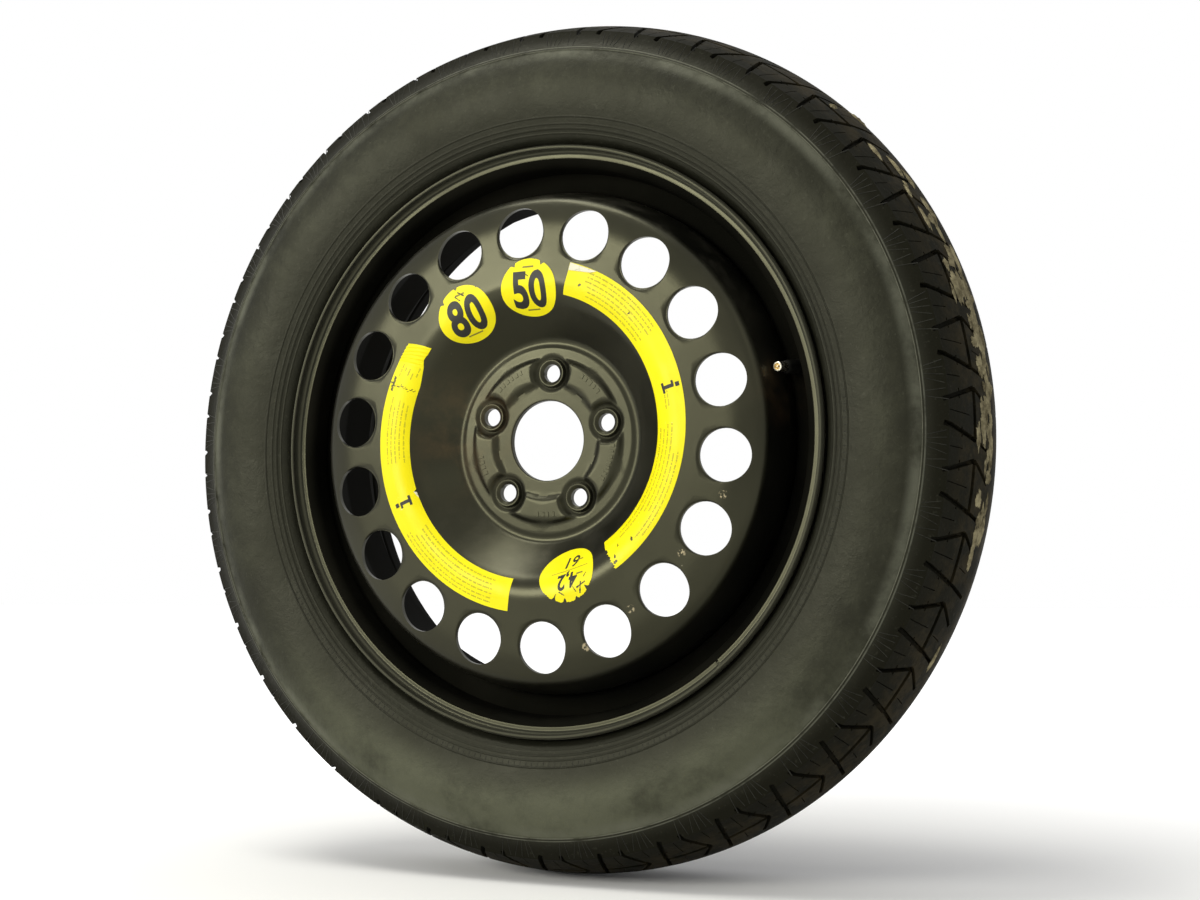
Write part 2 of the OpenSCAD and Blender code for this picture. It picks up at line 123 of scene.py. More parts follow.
def seen_ray(tree):
    """1 for rays that look at a backdrop: straight, in a mirror or through glass."""
    path = tree.nodes.new("ShaderNodeLightPath")
    total = path.outputs["Is Camera Ray"]
    for name in ("Is Glossy Ray", "Is Transmission Ray"):
        either = tree.nodes.new("ShaderNodeMath")
        either.operation = "MAXIMUM"
        tree.links.new(total, either.inputs[0])
        tree.links.new(path.outputs[name], either.inputs[1])
        total = either.outputs[0]
    return total


def show_white_behind(tree, surface):
    """Adds a white glow to the floor for those rays, more of it further from the wheel."""
    new, link = tree.nodes.new, tree.links.new
    place = new("ShaderNodeTexCoord")
    distance = new("ShaderNodeVectorMath")
    distance.operation = "LENGTH"
    link(place.outputs["Object"], distance.inputs[0])
    level = new("ShaderNodeMapRange")
    level.interpolation_type = "SMOOTHSTEP"
    for name, value in (("From Min", GLOW_START), ("From Max", GLOW_END),
                        ("To Min", 0.0), ("To Max", GLOW_MOST)):
        level.inputs[name].default_value = value
    link(distance.outputs["Value"], level.inputs["Value"])
    strength = new("ShaderNodeMath")
    strength.operation = "MULTIPLY"
    link(seen_ray(tree), strength.inputs[0])
    link(level.outputs["Result"], strength.inputs[1])
    glow = new("ShaderNodeEmission")
    glow.inputs["Color"].default_value = (1, 1, 1, 1)
    link(strength.outputs[0], glow.inputs["Strength"])
    total = new("ShaderNodeAddShader")
    link(surface.outputs[0], total.inputs[0])
    link(glow.outputs[0], total.inputs[1])
    link(total.outputs[0], tree.nodes["Material Output"].inputs["Surface"])


def make_floor():
    """A wide pale square under the wheel."""
    mesh = bpy.data.meshes.new("floor")
    corners = [(x * FLOOR_REACH, y * FLOOR_REACH, FLOOR_Z)
               for x, y in ((-1, -1), (1, -1), (1, 1), (-1, 1))]
    mesh.from_pydata(corners, [], [(0, 1, 2, 3)])
    floor = add_object("floor", mesh)
    material, tree, shader = node_material("pale_floor")
    shader.inputs["Base Color"].default_value = (0.86, 0.86, 0.86, 1)
    shader.inputs["Roughness"].default_value = 0.9
    shader.inputs["Specular IOR Level"].default_value = 0.1
    show_white_behind(tree, shader)
    mesh.materials.append(material)


def make_world():
    """White where it is looked at, and a weaker white as light on the wheel."""
    world = bpy.data.worlds.new("studio")
    bpy.context.scene.world = world
    world.use_nodes = True
    tree = world.node_tree
    background = tree.nodes["Background"]
    background.inputs["Color"].default_value = (1, 1, 1, 1)
    level = tree.nodes.new("ShaderNodeMapRange")
    level.inputs["To Min"].default_value = WORLD_LIGHT
    level.inputs["To Max"].default_value = 1.0
    tree.links.new(seen_ray(tree), level.inputs["Value"])
    tree.links.new(level.outputs["Result"], background.inputs["Strength"])


def add_panel(name, place, target, size, power):
    """A rectangular soft light at place that faces target."""
    data = bpy.data.lights.new(name, "AREA")
    data.shape = "RECTANGLE"
    data.size, data.size_y = size
    data.energy = power
    data.color = PANEL_COLOUR
    lamp = add_object(name, data)
    lamp.location = place
    aim = Vector(target) - Vector(place)
    lamp.rotation_mode = "QUATERNION"
    lamp.rotation_quaternion = aim.to_track_quat("-Z", "Y")


make_floor()
make_world()
add_panel("ceiling", (-0.65, -0.75, 2.5), (0, 0, 0), (1.3, 1.0), 38)
add_panel("front_wall", (-1.35, -2.65, 0.75), (0, 0, 0), (1.5, 1.0), 66)
add_panel("right_wing", (1.8, -1.0, 1.2), (0, 0, 0), (0.5, 0.9), 2)
bpy.context.scene.view_settings.view_transform = "Standard"

# %% [markdown]
# ## Sections
# Rim, disc and tyre are all turned round one axle, so each is drawn as a section first: a list
# of corners with a rounding radius, in millimetres of radius and of distance along the axle.
# The rounding is worked out here finely, because black paint shows every flat in a curve.

# %% Rounded corners
STRAIGHT_HALF = math.radians(89.6)


def unit(v):
    """The direction of v, one long."""
    return v / np.linalg.norm(v)


def corner_arc(a, b, c, radius, steps):
    """Points on the arc that rounds corner b between a and c."""
    u, v = unit(a - b), unit(c - b)
    half = math.acos(max(-1.0, min(1.0, float(u @ v)))) / 2
    if radius < 0.01 or half > STRAIGHT_HALF:
        return [b]
    middle = b + unit(u + v) * radius / math.sin(half)
    p = b + u * radius / math.tan(half) - middle
    q = b + v * radius / math.tan(half) - middle
    start = math.atan2(p[1], p[0])
    turn = math.atan2(p[0] * q[1] - p[1] * q[0], float(p @ q))
    angles = [start + turn * i / steps for i in range(steps + 1)]
    return [middle + radius * np.array((math.cos(t), math.sin(t))) for t in angles]


def rounded(path, steps=8):
    """The path's points with its corners rounded; a corner is (radius, along, rounding)."""
    flat = [np.array(v[:2], float) for v in path]
    points = [flat[0]]
    for i in range(1, len(path) - 1):
        points += corner_arc(flat[i - 1], flat[i], flat[i + 1], path[i][2], steps)
    return np.array(points + [flat[-1]])


# %% A path beside a path
def offset_path(path, shifts):
    """The path moved to its left by shifts[i] along segment i, its roundings following."""
    flat = [np.array(v[:2], float) for v in path]
    last = len(path) - 1
    ways = [unit(flat[i + 1] - flat[i]) for i in range(last)]
    normals = [np.array((-w[1], w[0])) for w in ways]
    made = [tuple(flat[0] + normals[0] * shifts[0]) + (0,)]
    for i in range(1, last):
        p = flat[i] + normals[i - 1] * shifts[i - 1]
        q = flat[i] + normals[i] * shifts[i]
        cross = ways[i - 1][0] * ways[i][1] - ways[i - 1][1] * ways[i][0]
        if abs(cross) > 1e-4:
            gap = q - p
            p = p + ways[i - 1] * (gap[0] * ways[i][1] - gap[1] * ways[i][0]) / cross
        rounding = path[i][2] - math.copysign((shifts[i - 1] + shifts[i]) / 2, cross)
        made.append(tuple(p) + (max(0.3, rounding) if path[i][2] else 0,))
    made.append(tuple(flat[last] + normals[last - 1] * shifts[last - 1]) + (0,))
    return made


def densely(points, longest):
    """Adds points so that no step along the section is longer than longest."""
    made = [points[0]]
    for a, b in zip(points[:-1], points[1:]):
        steps = max(1, math.ceil(np.linalg.norm(b - a) / longest))
        made += [a + (b - a) * k / steps for k in range(1, steps + 1)]
    return np.array(made)


# %% [markdown]
# ## Turning a section into a mesh
# A grid of points, one row for each section point and one column for each degree round the
# wheel, becomes a ring of four-sided faces. Clock angles count from the top, clockwise as
# seen from the outboard side, and the wheel's axle is Y.

# %% Grid helpers
COLUMNS = 360


def on_clock(radius, clock_degrees, along):
    """Points of the row frame, in mm, from a radius, a clock angle and a place on the axle."""
    t = np.radians(clock_degrees)
    radius, t, along = np.broadcast_arrays(radius, t, along)
    return np.stack([radius * np.sin(t), along, radius * np.cos(t)], axis=-1)


def wave(value, seed):
    """A rough but repeatable wave between -1 and 1."""
    return (np.sin(value * 2.1 + seed) + np.sin(value * 5.3 + seed * 2.7)
            + np.sin(value * 11.7 + seed * 0.6)) / 3


# %% Grids that become one mesh
class MeshParts:
    """Collects grids of points in mm and joins them into one mesh."""

    def __init__(self):
        self.points = []
        self.faces = []
        self.count = 0

    def grid(self, points, closed=False, flip=False):
        """Adds a grid [row, column, xyz]; closed joins its last column to its first."""
        rows, columns = points.shape[:2]
        index = self.count + np.arange(rows * columns).reshape(rows, columns)
        if closed:
            index = np.concatenate([index, index[:, :1]], axis=1)
        quads = np.stack([index[:-1, :-1], index[1:, :-1], index[1:, 1:], index[:-1, 1:]], axis=-1)
        quads = quads.reshape(-1, 4)
        if flip:
            quads = quads[:, ::-1]
        self.points.append(points.reshape(-1, 3))
        self.faces.append(quads)
        self.count += rows * columns

    def build(self, name, smooth_angle=35, merge=0.002):
        """Welds the grids' shared edges and returns the finished object."""
        mesh = bpy.data.meshes.new(name)
        points = np.concatenate(self.points) * MM
        mesh.from_pydata(points.tolist(), [], np.concatenate(self.faces).tolist())
        work = bmesh.new()
        work.from_mesh(mesh)
        bmesh.ops.remove_doubles(work, verts=work.verts, dist=merge * MM)
        bmesh.ops.recalc_face_normals(work, faces=work.faces)
        work.to_mesh(mesh)
        work.free()
        mesh.shade_smooth()
        mesh.set_sharp_from_angle(angle=math.radians(smooth_angle))
        print(name, len(mesh.vertices), "points", len(mesh.polygons), "faces")
        return add_object(name, mesh)


def turned_grid(section, phase=0.0, columns=COLUMNS):
    """The section's points at every column round the wheel; phase may differ by row."""
    clock = np.arange(columns) * 360 / columns
    clock = clock[None, :] + np.broadcast_to(np.asarray(phase, float), (len(section),))[:, None]
    return on_clock(section[:, :1], clock, section[:, 1:])


# %% [markdown]
# ## Rim
# A rim is one strip of steel rolled to a section: a flange that curls outwards, a seat for the
# tyre's bead, a small hump, and a deep well in the middle that lets the tyre be fitted. The
# strip's ends are butt welded, which leaves a faint ridge across the flange at one place.
# Turning the section is the honest way to make it, with extra columns where the ridge is.

# %% Rim section
RIM_T = 2.8
SEAT_R = 231
FLANGE_Y = 57.15
FLANGE_H = 14
CURL_R = 7.8
LIP_REACH = 4.2
SEAT_W = 20.5
SEAT_SLOPE = math.tan(math.radians(5))
WELL_R = 212.3
WELL_SLOPE = math.tan(math.radians(16))
WALL_FOOT_Y = -(FLANGE_Y - SEAT_W - 4) + (SEAT_R - WELL_R) * WELL_SLOPE
WELL_END_Y = 4
print("rim seat", SEAT_R, "mm, well", WELL_R, "mm, flanges", 2 * FLANGE_Y, "mm apart")


def rim_corners():
    """The tyre's side of the rim from the outboard flange to the inboard one."""
    flange_r = SEAT_R + FLANGE_H
    half = [(flange_r - 1.2, -FLANGE_Y - CURL_R - LIP_REACH, 0),
            (flange_r, -FLANGE_Y - CURL_R - LIP_REACH / 2, 3.2),
            (flange_r, -FLANGE_Y, CURL_R),
            (SEAT_R, -FLANGE_Y, 6),
            (SEAT_R - (SEAT_W - 3) * SEAT_SLOPE, -FLANGE_Y + SEAT_W - 3, 2),
            (SEAT_R - SEAT_W * SEAT_SLOPE + 1.3, -FLANGE_Y + SEAT_W, 2)]
    wall_top = SEAT_R - 1.6
    middle = [(wall_top, WALL_FOOT_Y - (wall_top - WELL_R) * WELL_SLOPE, 3),
              (WELL_R, WALL_FOOT_Y, 3),
              (WELL_R, WELL_END_Y, 6),
              (WELL_R + 8, WELL_END_Y + 6, 7),
              (SEAT_R - 2.4, FLANGE_Y - SEAT_W - 4, 8)]
    return half + middle + [(r, -y, rounding) for r, y, rounding in reversed(half)]


def round_end(a, b, outward, steps=5):
    """Points of the half circle that closes a sheet's edge from a to b."""
    middle, half = (a + b) / 2, (b - a) / 2
    reach = np.linalg.norm(half)
    angles = [math.pi * k / steps for k in range(1, steps)]
    return [middle - half * math.cos(t) + outward * reach * math.sin(t) for t in angles]


def rim_section():
    """The closed section: the tyre's side, the axle's side and the two round edges."""
    tyre_side = densely(rounded(rim_corners(), 4), 14)
    thick = offset_path(rim_corners(), [RIM_T] * len(rim_corners()))
    axle_side = densely(rounded(thick, 9), 5)[::-1]
    inboard_way = unit(tyre_side[-1] - tyre_side[-2])
    outboard_way = unit(tyre_side[0] - tyre_side[1])
    ends = (round_end(tyre_side[-1], axle_side[0], inboard_way),
            round_end(axle_side[-1], tyre_side[0], outboard_way))
    return np.concatenate([tyre_side, ends[0], axle_side, ends[1], tyre_side[:1]])


# %% Rim mesh
RIDGE_CLOCK = 139.5
RIDGE_H = 0.45
RIDGE_HALF = 0.33
RIDGE_STEP = 0.14


def build_rim():
    """Turns the section, with closer columns at the butt weld and its ridge on the flanges."""
    section = rim_section()
    fine = RIDGE_CLOCK + np.arange(-9, 10) * RIDGE_STEP
    clock = np.unique(np.concatenate([np.arange(0, 360, 1.0), fine]))
    points = on_clock(section[:, :1], clock[None, :], section[:, 1:])
    ridge = RIDGE_H * np.exp(-((clock - RIDGE_CLOCK) / RIDGE_HALF) ** 2)
    near_flange = np.clip((section[:, 0] - SEAT_R - 2) / 6, 0, 1)
    outwards = np.where(section[:, 1] < 0, -1, 1)
    points[..., 1] += (outwards * near_flange)[:, None] * ridge[None, :]
    parts = MeshParts()
    parts.grid(points, closed=True)
    rim = parts.build("rim_shell")
    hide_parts("rim")
    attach(rim, "wheel")
    return rim


rim_shell = build_rim()

# %% [markdown]
# ## Disc
# The disc is a single pressing. Its middle is flat for the hub, with pads pressed up between the
# bolts, a round recess and a coned seat at each bolt. From there it dives into a dish, crests,
# and turns over into a skirt that is welded in the rim's well. Eighteen vent holes are punched
# through the crest. Cutting the holes with booleans would leave ragged shading, so each hole
# gets its own fan of points: rings round the hole that open out to the edges of its sector.

# %% Disc section
HUB_FRONT_Y = -53
HUB_T = 6
DISC_T = 4
BORE_R = 33.3
BOLT_R = 56
BOLT_HOLE_R = 7.4
BOLT_COUNT = 5
BOLT_CLOCK = 4.45
HUB_R = 77
PAD_H = 3.4
VENT_R = 170.3
VENT_HOLE_R = 21
VENT_COUNT = 18
VENT_CLOCK = 16.5
CREST_Y = HUB_FRONT_Y - 33.2
SKIRT_R = WELL_R - RIM_T
SKIRT_END_Y = WELL_END_Y - 7

FACE_CORNERS = [(BORE_R, HUB_FRONT_Y, 0),
                (HUB_R, HUB_FRONT_Y, 3),
                (HUB_R + 6, HUB_FRONT_Y + 2.2, 6),
                (120, CREST_Y, 28),
                (VENT_R + 8, CREST_Y + 4.2, 60),
                (SKIRT_R - 10, CREST_Y + 10, 13),
                (SKIRT_R, CREST_Y + 44, 20),
                (SKIRT_R, SKIRT_END_Y, 0)]
FACE_T = [HUB_T, HUB_T, (HUB_T + DISC_T) / 2] + [DISC_T] * 5
face_line = rounded(FACE_CORNERS, 16)
back_line = rounded(offset_path(FACE_CORNERS, FACE_T), 16)
print("disc front", len(face_line), "points, crest at", CREST_Y, "mm")


def line_y(line, radius):
    """Where a line of the section lies along the axle, at a radius inside the skirt."""
    turn = int(np.argmax(line[:, 0] > SKIRT_R - DISC_T - 2))
    return np.interp(radius, line[:turn, 0], line[:turn, 1])


# %% Pressed forms of the hub
LAND_R = BOLT_R - 10.5
PAD_OUT_R = BOLT_R + 14
PAD_FLANK = 4.5
RECESS_R = BOLT_HOLE_R + 7
COLLAR_R = BOLT_HOLE_R + 4.4
COLLAR_H = 1.6
RECESS_D = 1.6
CONE_W = 2.6
print("pads", PAD_H, "mm high from radius", LAND_R, "to", PAD_OUT_R, "mm")


def ease(value, start, end):
    """0 before start, 1 after end, and a smooth turn between."""
    t = np.clip((value - start) / (end - start), 0, 1)
    return t * t * (3 - 2 * t)


def bolt_distance(x, z):
    """How far a place is from the nearest bolt hole's middle."""
    angles = np.radians(BOLT_CLOCK + np.arange(BOLT_COUNT) * 360 / BOLT_COUNT)
    gaps = [np.hypot(x - BOLT_R * math.sin(a), z - BOLT_R * math.cos(a)) for a in angles]
    return np.min(gaps, axis=0)


def pad_share(radius, to_bolt, inner, outer, bolt_gap):
    """1 on top of a pad and 0 beside it, with a slope of PAD_FLANK between."""
    ring = ease(radius, inner, inner + PAD_FLANK) - ease(radius, outer - PAD_FLANK, outer)
    return ring * ease(to_bolt, bolt_gap, bolt_gap + PAD_FLANK)


def front_y(x, z):
    """The disc's front, with its pads, bolt recesses, collars and coned seats."""
    radius, to_bolt = np.hypot(x, z), bolt_distance(x, z)
    y = line_y(face_line, radius)
    y = y - PAD_H * pad_share(radius, to_bolt, LAND_R, PAD_OUT_R, RECESS_R)
    y = y + RECESS_D * (1 - ease(to_bolt, RECESS_R - 2.2, RECESS_R + 2.2))
    y = y - (COLLAR_H + RECESS_D) * (1 - ease(to_bolt, COLLAR_R - 0.9, COLLAR_R + 0.7))
    return y + COLLAR_H * np.clip((BOLT_HOLE_R + CONE_W - to_bolt) / CONE_W, 0, 1)


def rear_y(x, z):
    """The disc's back, with a pocket behind each pad."""
    radius, to_bolt = np.hypot(x, z), bolt_distance(x, z)
    pocket = pad_share(radius, to_bolt, LAND_R + 2, PAD_OUT_R - 1, RECESS_R + 1)
    return line_y(back_line, radius) - PAD_H * pocket


# %% A fan of points round a hole
def hole_fan(centre_r, inner_r, outer_r, half_angle, arc_steps, side_steps, rings, far_steps):
    """Rings of points [ring, ray, (across, radial)] from a hole to the edges of its sector."""
    t = np.radians(np.linspace(-half_angle, half_angle, arc_steps + 1))
    r = np.linspace(inner_r, outer_r, side_steps + 1)
    arc = np.stack([np.sin(t), np.cos(t)], axis=1)
    edge = np.concatenate([arc[:-1] * inner_r,
                           r[:-1, None] * arc[-1],
                           arc[:0:-1] * outer_r,
                           r[:0:-1, None] * arc[0]])
    centre = np.array((0, centre_r))
    rays = edge - centre
    reach = np.linalg.norm(rays, axis=1)
    share = np.linspace(0, 1, far_steps + 1)[1:, None]
    near = np.broadcast_to(np.array(rings)[:, None], (len(rings), len(reach)))
    far = rings[-1] + (reach[None, :] - rings[-1]) * share
    distance = np.concatenate([near, far])
    return centre + rays[None] * (distance / reach)[..., None]


def place_fan(fan, clock_degrees):
    """The fan's x and z after it is turned to its clock angle."""
    a = math.radians(clock_degrees)
    x = fan[..., 0] * math.cos(a) + fan[..., 1] * math.sin(a)
    z = -fan[..., 0] * math.sin(a) + fan[..., 1] * math.cos(a)
    return x, z


def rounded_edge(distance, edge):
    """How far a punched edge falls away, at a distance from the hole's wall."""
    t = np.clip(1 - distance / edge, 0, 1)
    return edge * (1 - np.sqrt(1 - t * t))


def add_holed_ring(parts, count, first_clock, hole_r, fan_front, fan_back, edge):
    """Adds the sectors round a circle of holes: front, back and the holes' walls."""
    for k in range(count):
        clock = first_clock + 360 * k / count
        x, z = place_fan(fan_front, clock)
        hole_x, hole_z = place_fan(np.array((0.0, fan_front[0].mean(axis=0)[1])), clock)
        y = front_y(x, z)
        gap = np.hypot(x - hole_x, z - hole_z) - hole_r
        y = y + rounded_edge(gap, edge)
        front = np.stack([x, y, z], axis=-1)
        x, z = place_fan(fan_back, clock)
        gap = np.hypot(x - hole_x, z - hole_z) - hole_r
        back = np.stack([x, rear_y(x, z) - rounded_edge(gap, edge / 2), z], axis=-1)
        parts.grid(front, closed=True)
        parts.grid(back, closed=True, flip=True)
        wall = np.stack([front[0] * (1 - s) + back[0] * s for s in (0, 0.5, 1)])
        parts.grid(wall, closed=True, flip=True)


# %% Sections between the fans
HUB_EDGE_R = HUB_R + 2
BORE_LAND_R = BORE_R + 1.7
BORE_EDGE = 0.9
VENT_BAND = (146, 195)
VENT_PHASE = VENT_CLOCK + 180 / VENT_COUNT
BOLT_PHASE = BOLT_CLOCK + 180 / BOLT_COUNT
print("the vents' fans reach from radius", VENT_BAND[0], "to", VENT_BAND[1], "mm")


def bolt_fan(rings, far_steps):
    """Rings round a bolt hole that open out to the bore, the hub's edge and the next bolts."""
    return hole_fan(BOLT_R, BORE_LAND_R, HUB_EDGE_R, 180 / BOLT_COUNT, COLUMNS // BOLT_COUNT,
                    16, rings, far_steps)


def vent_fan(rings, far_steps):
    """Rings round a vent that open out to the edges of the vents' band."""
    return hole_fan(VENT_R, VENT_BAND[0], VENT_BAND[1], 180 / VENT_COUNT,
                    COLUMNS // VENT_COUNT, 10, rings, far_steps)


def bore_section():
    """The bore: from the hub's front round its eased edges and back to the hub's rear face."""
    front = [(BORE_LAND_R, HUB_FRONT_Y), (BORE_R + BORE_EDGE, HUB_FRONT_Y)]
    back_y = HUB_FRONT_Y + HUB_T
    turn = [(BORE_R + BORE_EDGE - BORE_EDGE * math.sin(t),
             HUB_FRONT_Y + BORE_EDGE - BORE_EDGE * math.cos(t))
            for t in np.radians((22.5, 45, 67.5, 90))]
    back = [(BORE_R, back_y - 0.6), (BORE_R + 0.6, back_y), (BORE_LAND_R, back_y)]
    return np.array(front + turn + back)


def dish_section(line):
    """The dish between the hub and the vents' band, finer in front than behind."""
    radius = np.concatenate([np.linspace(HUB_EDGE_R, 91, 15), np.linspace(93.2, VENT_BAND[0], 25)])
    if line is back_line:
        radius = np.concatenate([np.linspace(HUB_EDGE_R, 91, 7), np.linspace(95, VENT_BAND[0], 12)])
    return np.stack([radius, line_y(line, radius)], axis=1)


def skirt_section():
    """From the vents over the brow, down the skirt, round its end and back up behind."""
    def beyond(line, longest):
        start = int(np.argmax(line[:, 0] > VENT_BAND[1] + 0.3))
        first = np.array([[VENT_BAND[1], float(line_y(line, VENT_BAND[1]))]])
        return densely(np.concatenate([first, line[start:]]), longest)
    return np.concatenate([beyond(face_line, 5), beyond(back_line, 9)[::-1]])


# %% Disc mesh
# Radii of the rings of points round a bolt hole and a vent, in front and behind.
BOLT_RINGS = [BOLT_HOLE_R + s for s in (0, 0.15, 0.4, 1.2, 2.2, 2.7, 3.1, 3.5, 3.9, 4.3, 4.7,
                                        5.1, 5.6, 6.1, 6.5, 6.9, 7.4, 8.2, 9.1, 10.1)]
BOLT_RINGS_BEHIND = [BOLT_HOLE_R, BOLT_HOLE_R + 0.5, 14.5, 16.5, 18.5]
BOLT_EDGE = 0.4
VENT_RINGS = [VENT_HOLE_R + s for s in (0, 0.1, 0.35, 0.7, 1.2, 1.9)]
VENT_RINGS_BEHIND = [VENT_HOLE_R, VENT_HOLE_R + 0.5]
VENT_EDGE = 1.2


def build_disc():
    """The whole pressing, joined from its fans, its bore, its dish and its skirt."""
    parts = MeshParts()
    add_holed_ring(parts, BOLT_COUNT, BOLT_CLOCK, BOLT_HOLE_R, bolt_fan(BOLT_RINGS, 14),
                   bolt_fan(BOLT_RINGS_BEHIND, 7), BOLT_EDGE)
    add_holed_ring(parts, VENT_COUNT, VENT_CLOCK, VENT_HOLE_R, vent_fan(VENT_RINGS, 3),
                   vent_fan(VENT_RINGS_BEHIND, 3), VENT_EDGE)
    parts.grid(turned_grid(bore_section(), BOLT_PHASE), closed=True, flip=True)
    for line in (face_line, back_line):
        section = dish_section(line)
        phase = np.linspace(BOLT_PHASE % 1, VENT_PHASE % 1, len(section))
        parts.grid(turned_grid(section, phase), closed=True, flip=line is back_line)
    parts.grid(turned_grid(skirt_section(), VENT_PHASE), closed=True)
    disc = parts.build("disc_pressing", smooth_angle=40)
    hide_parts("disc_hub", "disc", "disc_skirt")
    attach(disc, "wheel")
    return disc


disc_pressing = build_disc()

# %% [markdown]
# ## Bars on the hub
# Short rows of raised bars stand on the pads between the bolts. Each bar is a small grid laid
# on the pad's front: its inner points are lifted and its outer ones lie just under the paint,
# which gives the sloping edges of a mark that was pressed into sheet steel.

# %% Hub bars
BAR_R = 61.5
BAR_STEP = 4.4
BAR_H = 0.45
# Each row: clock angle of its middle and number of bars.
BAR_ROWS = ((-33, 6), (42, 5), (109, 7), (180, 4), (252, 4))


def build_hub_bars():
    """All bars in one mesh, wide and narrow ones in turn."""
    parts = MeshParts()
    for clock, count in BAR_ROWS:
        for k in range(count):
            turn = math.radians(clock + (k - (count - 1) / 2) * BAR_STEP)
            half = 1.1 if k % 2 else 1.6
            right, up = np.meshgrid((-half, -half + 0.2, half - 0.2, half), (-2.1, -1.9, 1.9, 2.1))
            x = (BAR_R + up) * math.sin(turn) + right * math.cos(turn)
            z = (BAR_R + up) * math.cos(turn) - right * math.sin(turn)
            lift = np.where((np.abs(right) < half) & (np.abs(up) < 2), BAR_H, -0.1)
            parts.grid(np.stack([x, front_y(x, z) - lift, z], axis=-1))
    bars = parts.build("hub_bars", smooth_angle=60)
    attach(bars, "wheel")
    return bars


hub_bars = build_hub_bars()

# %% [markdown]
# ## Tyre walls
# A tyre is moulded rubber over cords: thin, curved sidewalls between two beads that grip the
# rim's seats. The same points as in the CAD section are joined here by a finer smooth curve,
# but for the crown, which is worn a little lower in the middle. Moulded rings are added to the
# section itself, since a ring that runs all the way round is cheapest and cleanest as one more
# bend in what is turned.

# %% Tyre section
TYRE_R = 361
WORN_R = 359.8
SIDE_Y = 78.5
TREAD_W = 126
CROWN_R = 110
TREAD_T = 12.5
WALL_T = 6.5
FLANGE_R = SEAT_R + FLANGE_H
EDGE_ANGLE = math.asin(TREAD_W / 2 / CROWN_R)
TREAD_EDGE_R = TYRE_R - CROWN_R + CROWN_R * math.cos(EDGE_ANGLE)
SHOULDER_Y = SIDE_Y - 7
TOE_Y = FLANGE_Y - SEAT_W + 3.6


def wall(share):
    """A radius on the outside of the wall: 0 beside the flange, 1 at the tread's edge."""
    return FLANGE_R + 7 + share * (TREAD_EDGE_R - FLANGE_R - 7)


def liner(share):
    """A radius on the tyre's inside: 0 above the bead, 1 under the tread's edge."""
    return SEAT_R + 21 + share * (TREAD_EDGE_R - SEAT_R - 25)


def smooth_line(points, steps):
    """A curve through the points (Catmull-Rom), with steps between neighbours."""
    p = np.array(points, float)
    made = []
    for i in range(len(p) - 1):
        a, b, c, d = p[max(i - 1, 0)], p[i], p[i + 1], p[min(i + 2, len(p) - 1)]
        for s in np.arange(steps) / steps:
            made.append(0.5 * (2 * b + (c - a) * s + (2 * a - 5 * b + 4 * c - d) * s * s
                               + (3 * b - a - 3 * c + d) * s ** 3))
    return np.array(made + [p[-1]])


# %% Lines of the tyre's section
CROWN_POWER = 1.6
JOIN_R = 327.0
crown_y = np.linspace(0, TREAD_W / 2, 25)
crown_drop = (WORN_R - TREAD_EDGE_R) * (crown_y / crown_y[-1]) ** CROWN_POWER
crown_line = np.stack([WORN_R - crown_drop, crown_y], axis=1)
wall_line = smooth_line([(TREAD_EDGE_R, TREAD_W / 2),
                         (wall(0.9), (TREAD_W / 2 + SHOULDER_Y) / 2 + 0.2),
                         (wall(0.8), SHOULDER_Y),
                         (wall(0.655), SIDE_Y - 2.2),
                         (wall(0.485), SIDE_Y),
                         (wall(0.29), SIDE_Y - 1.3),
                         (wall(0.1), SIDE_Y - 5.4),
                         (wall(0), SIDE_Y - 9.4),
                         (FLANGE_R + 2.6, SIDE_Y - 14)], 10)
bead_line = np.array([(FLANGE_R + 0.4, FLANGE_Y + 3.2),
                      (FLANGE_R - 3.4, FLANGE_Y + 0.3),
                      (FLANGE_R - CURL_R + 1, FLANGE_Y),
                      (SEAT_R + 6.3, FLANGE_Y),
                      (SEAT_R + 2.3, FLANGE_Y - 2),
                      (SEAT_R - 7 * SEAT_SLOPE, FLANGE_Y - 7),
                      (SEAT_R - (FLANGE_Y - TOE_Y) * SEAT_SLOPE, TOE_Y)])
liner_line = smooth_line([(SEAT_R + 5, TOE_Y - 0.8),
                          (SEAT_R + 12, TOE_Y + 4),
                          (liner(0), SHOULDER_Y - 15.5),
                          (liner(0.13), SIDE_Y - 2 * WALL_T - 0.5),
                          (liner(0.33), SIDE_Y - WALL_T - 1.4),
                          (liner(0.505), SIDE_Y - WALL_T),
                          (liner(0.705), SIDE_Y - WALL_T - 3),
                          (liner(0.88), SHOULDER_Y - WALL_T - 3.5),
                          (liner(1), TREAD_W / 2 - TREAD_T),
                          (TYRE_R - TREAD_T - 4.3, TREAD_W / 4),
                          (TYRE_R - TREAD_T - 1.1, TREAD_W / 8),
                          (TYRE_R - TREAD_T, 0)], 3)
print("tread edge at", round(TREAD_EDGE_R, 2), "mm; wall piece ends at", JOIN_R)

# %% Walls with their moulded rings
# Each ring: radius of its middle, width and height in mm.
WALL_RINGS = [(324.4, 2.6, 0.9), (266.6, 0.9, 0.45), (261.0, 0.9, 0.45), (257.2, 1.4, 0.5),
              (253.6, 1.0, 0.35)]


def ring_height(radius):
    """How far the moulded rings stand out of the wall at a radius."""
    height = np.zeros_like(radius)
    for middle, width, rise in WALL_RINGS:
        gap = np.abs(radius - middle)
        height = np.maximum(height, rise * (1 - ease(gap, width / 2 - 0.35, width / 2 + 0.35)))
    return height


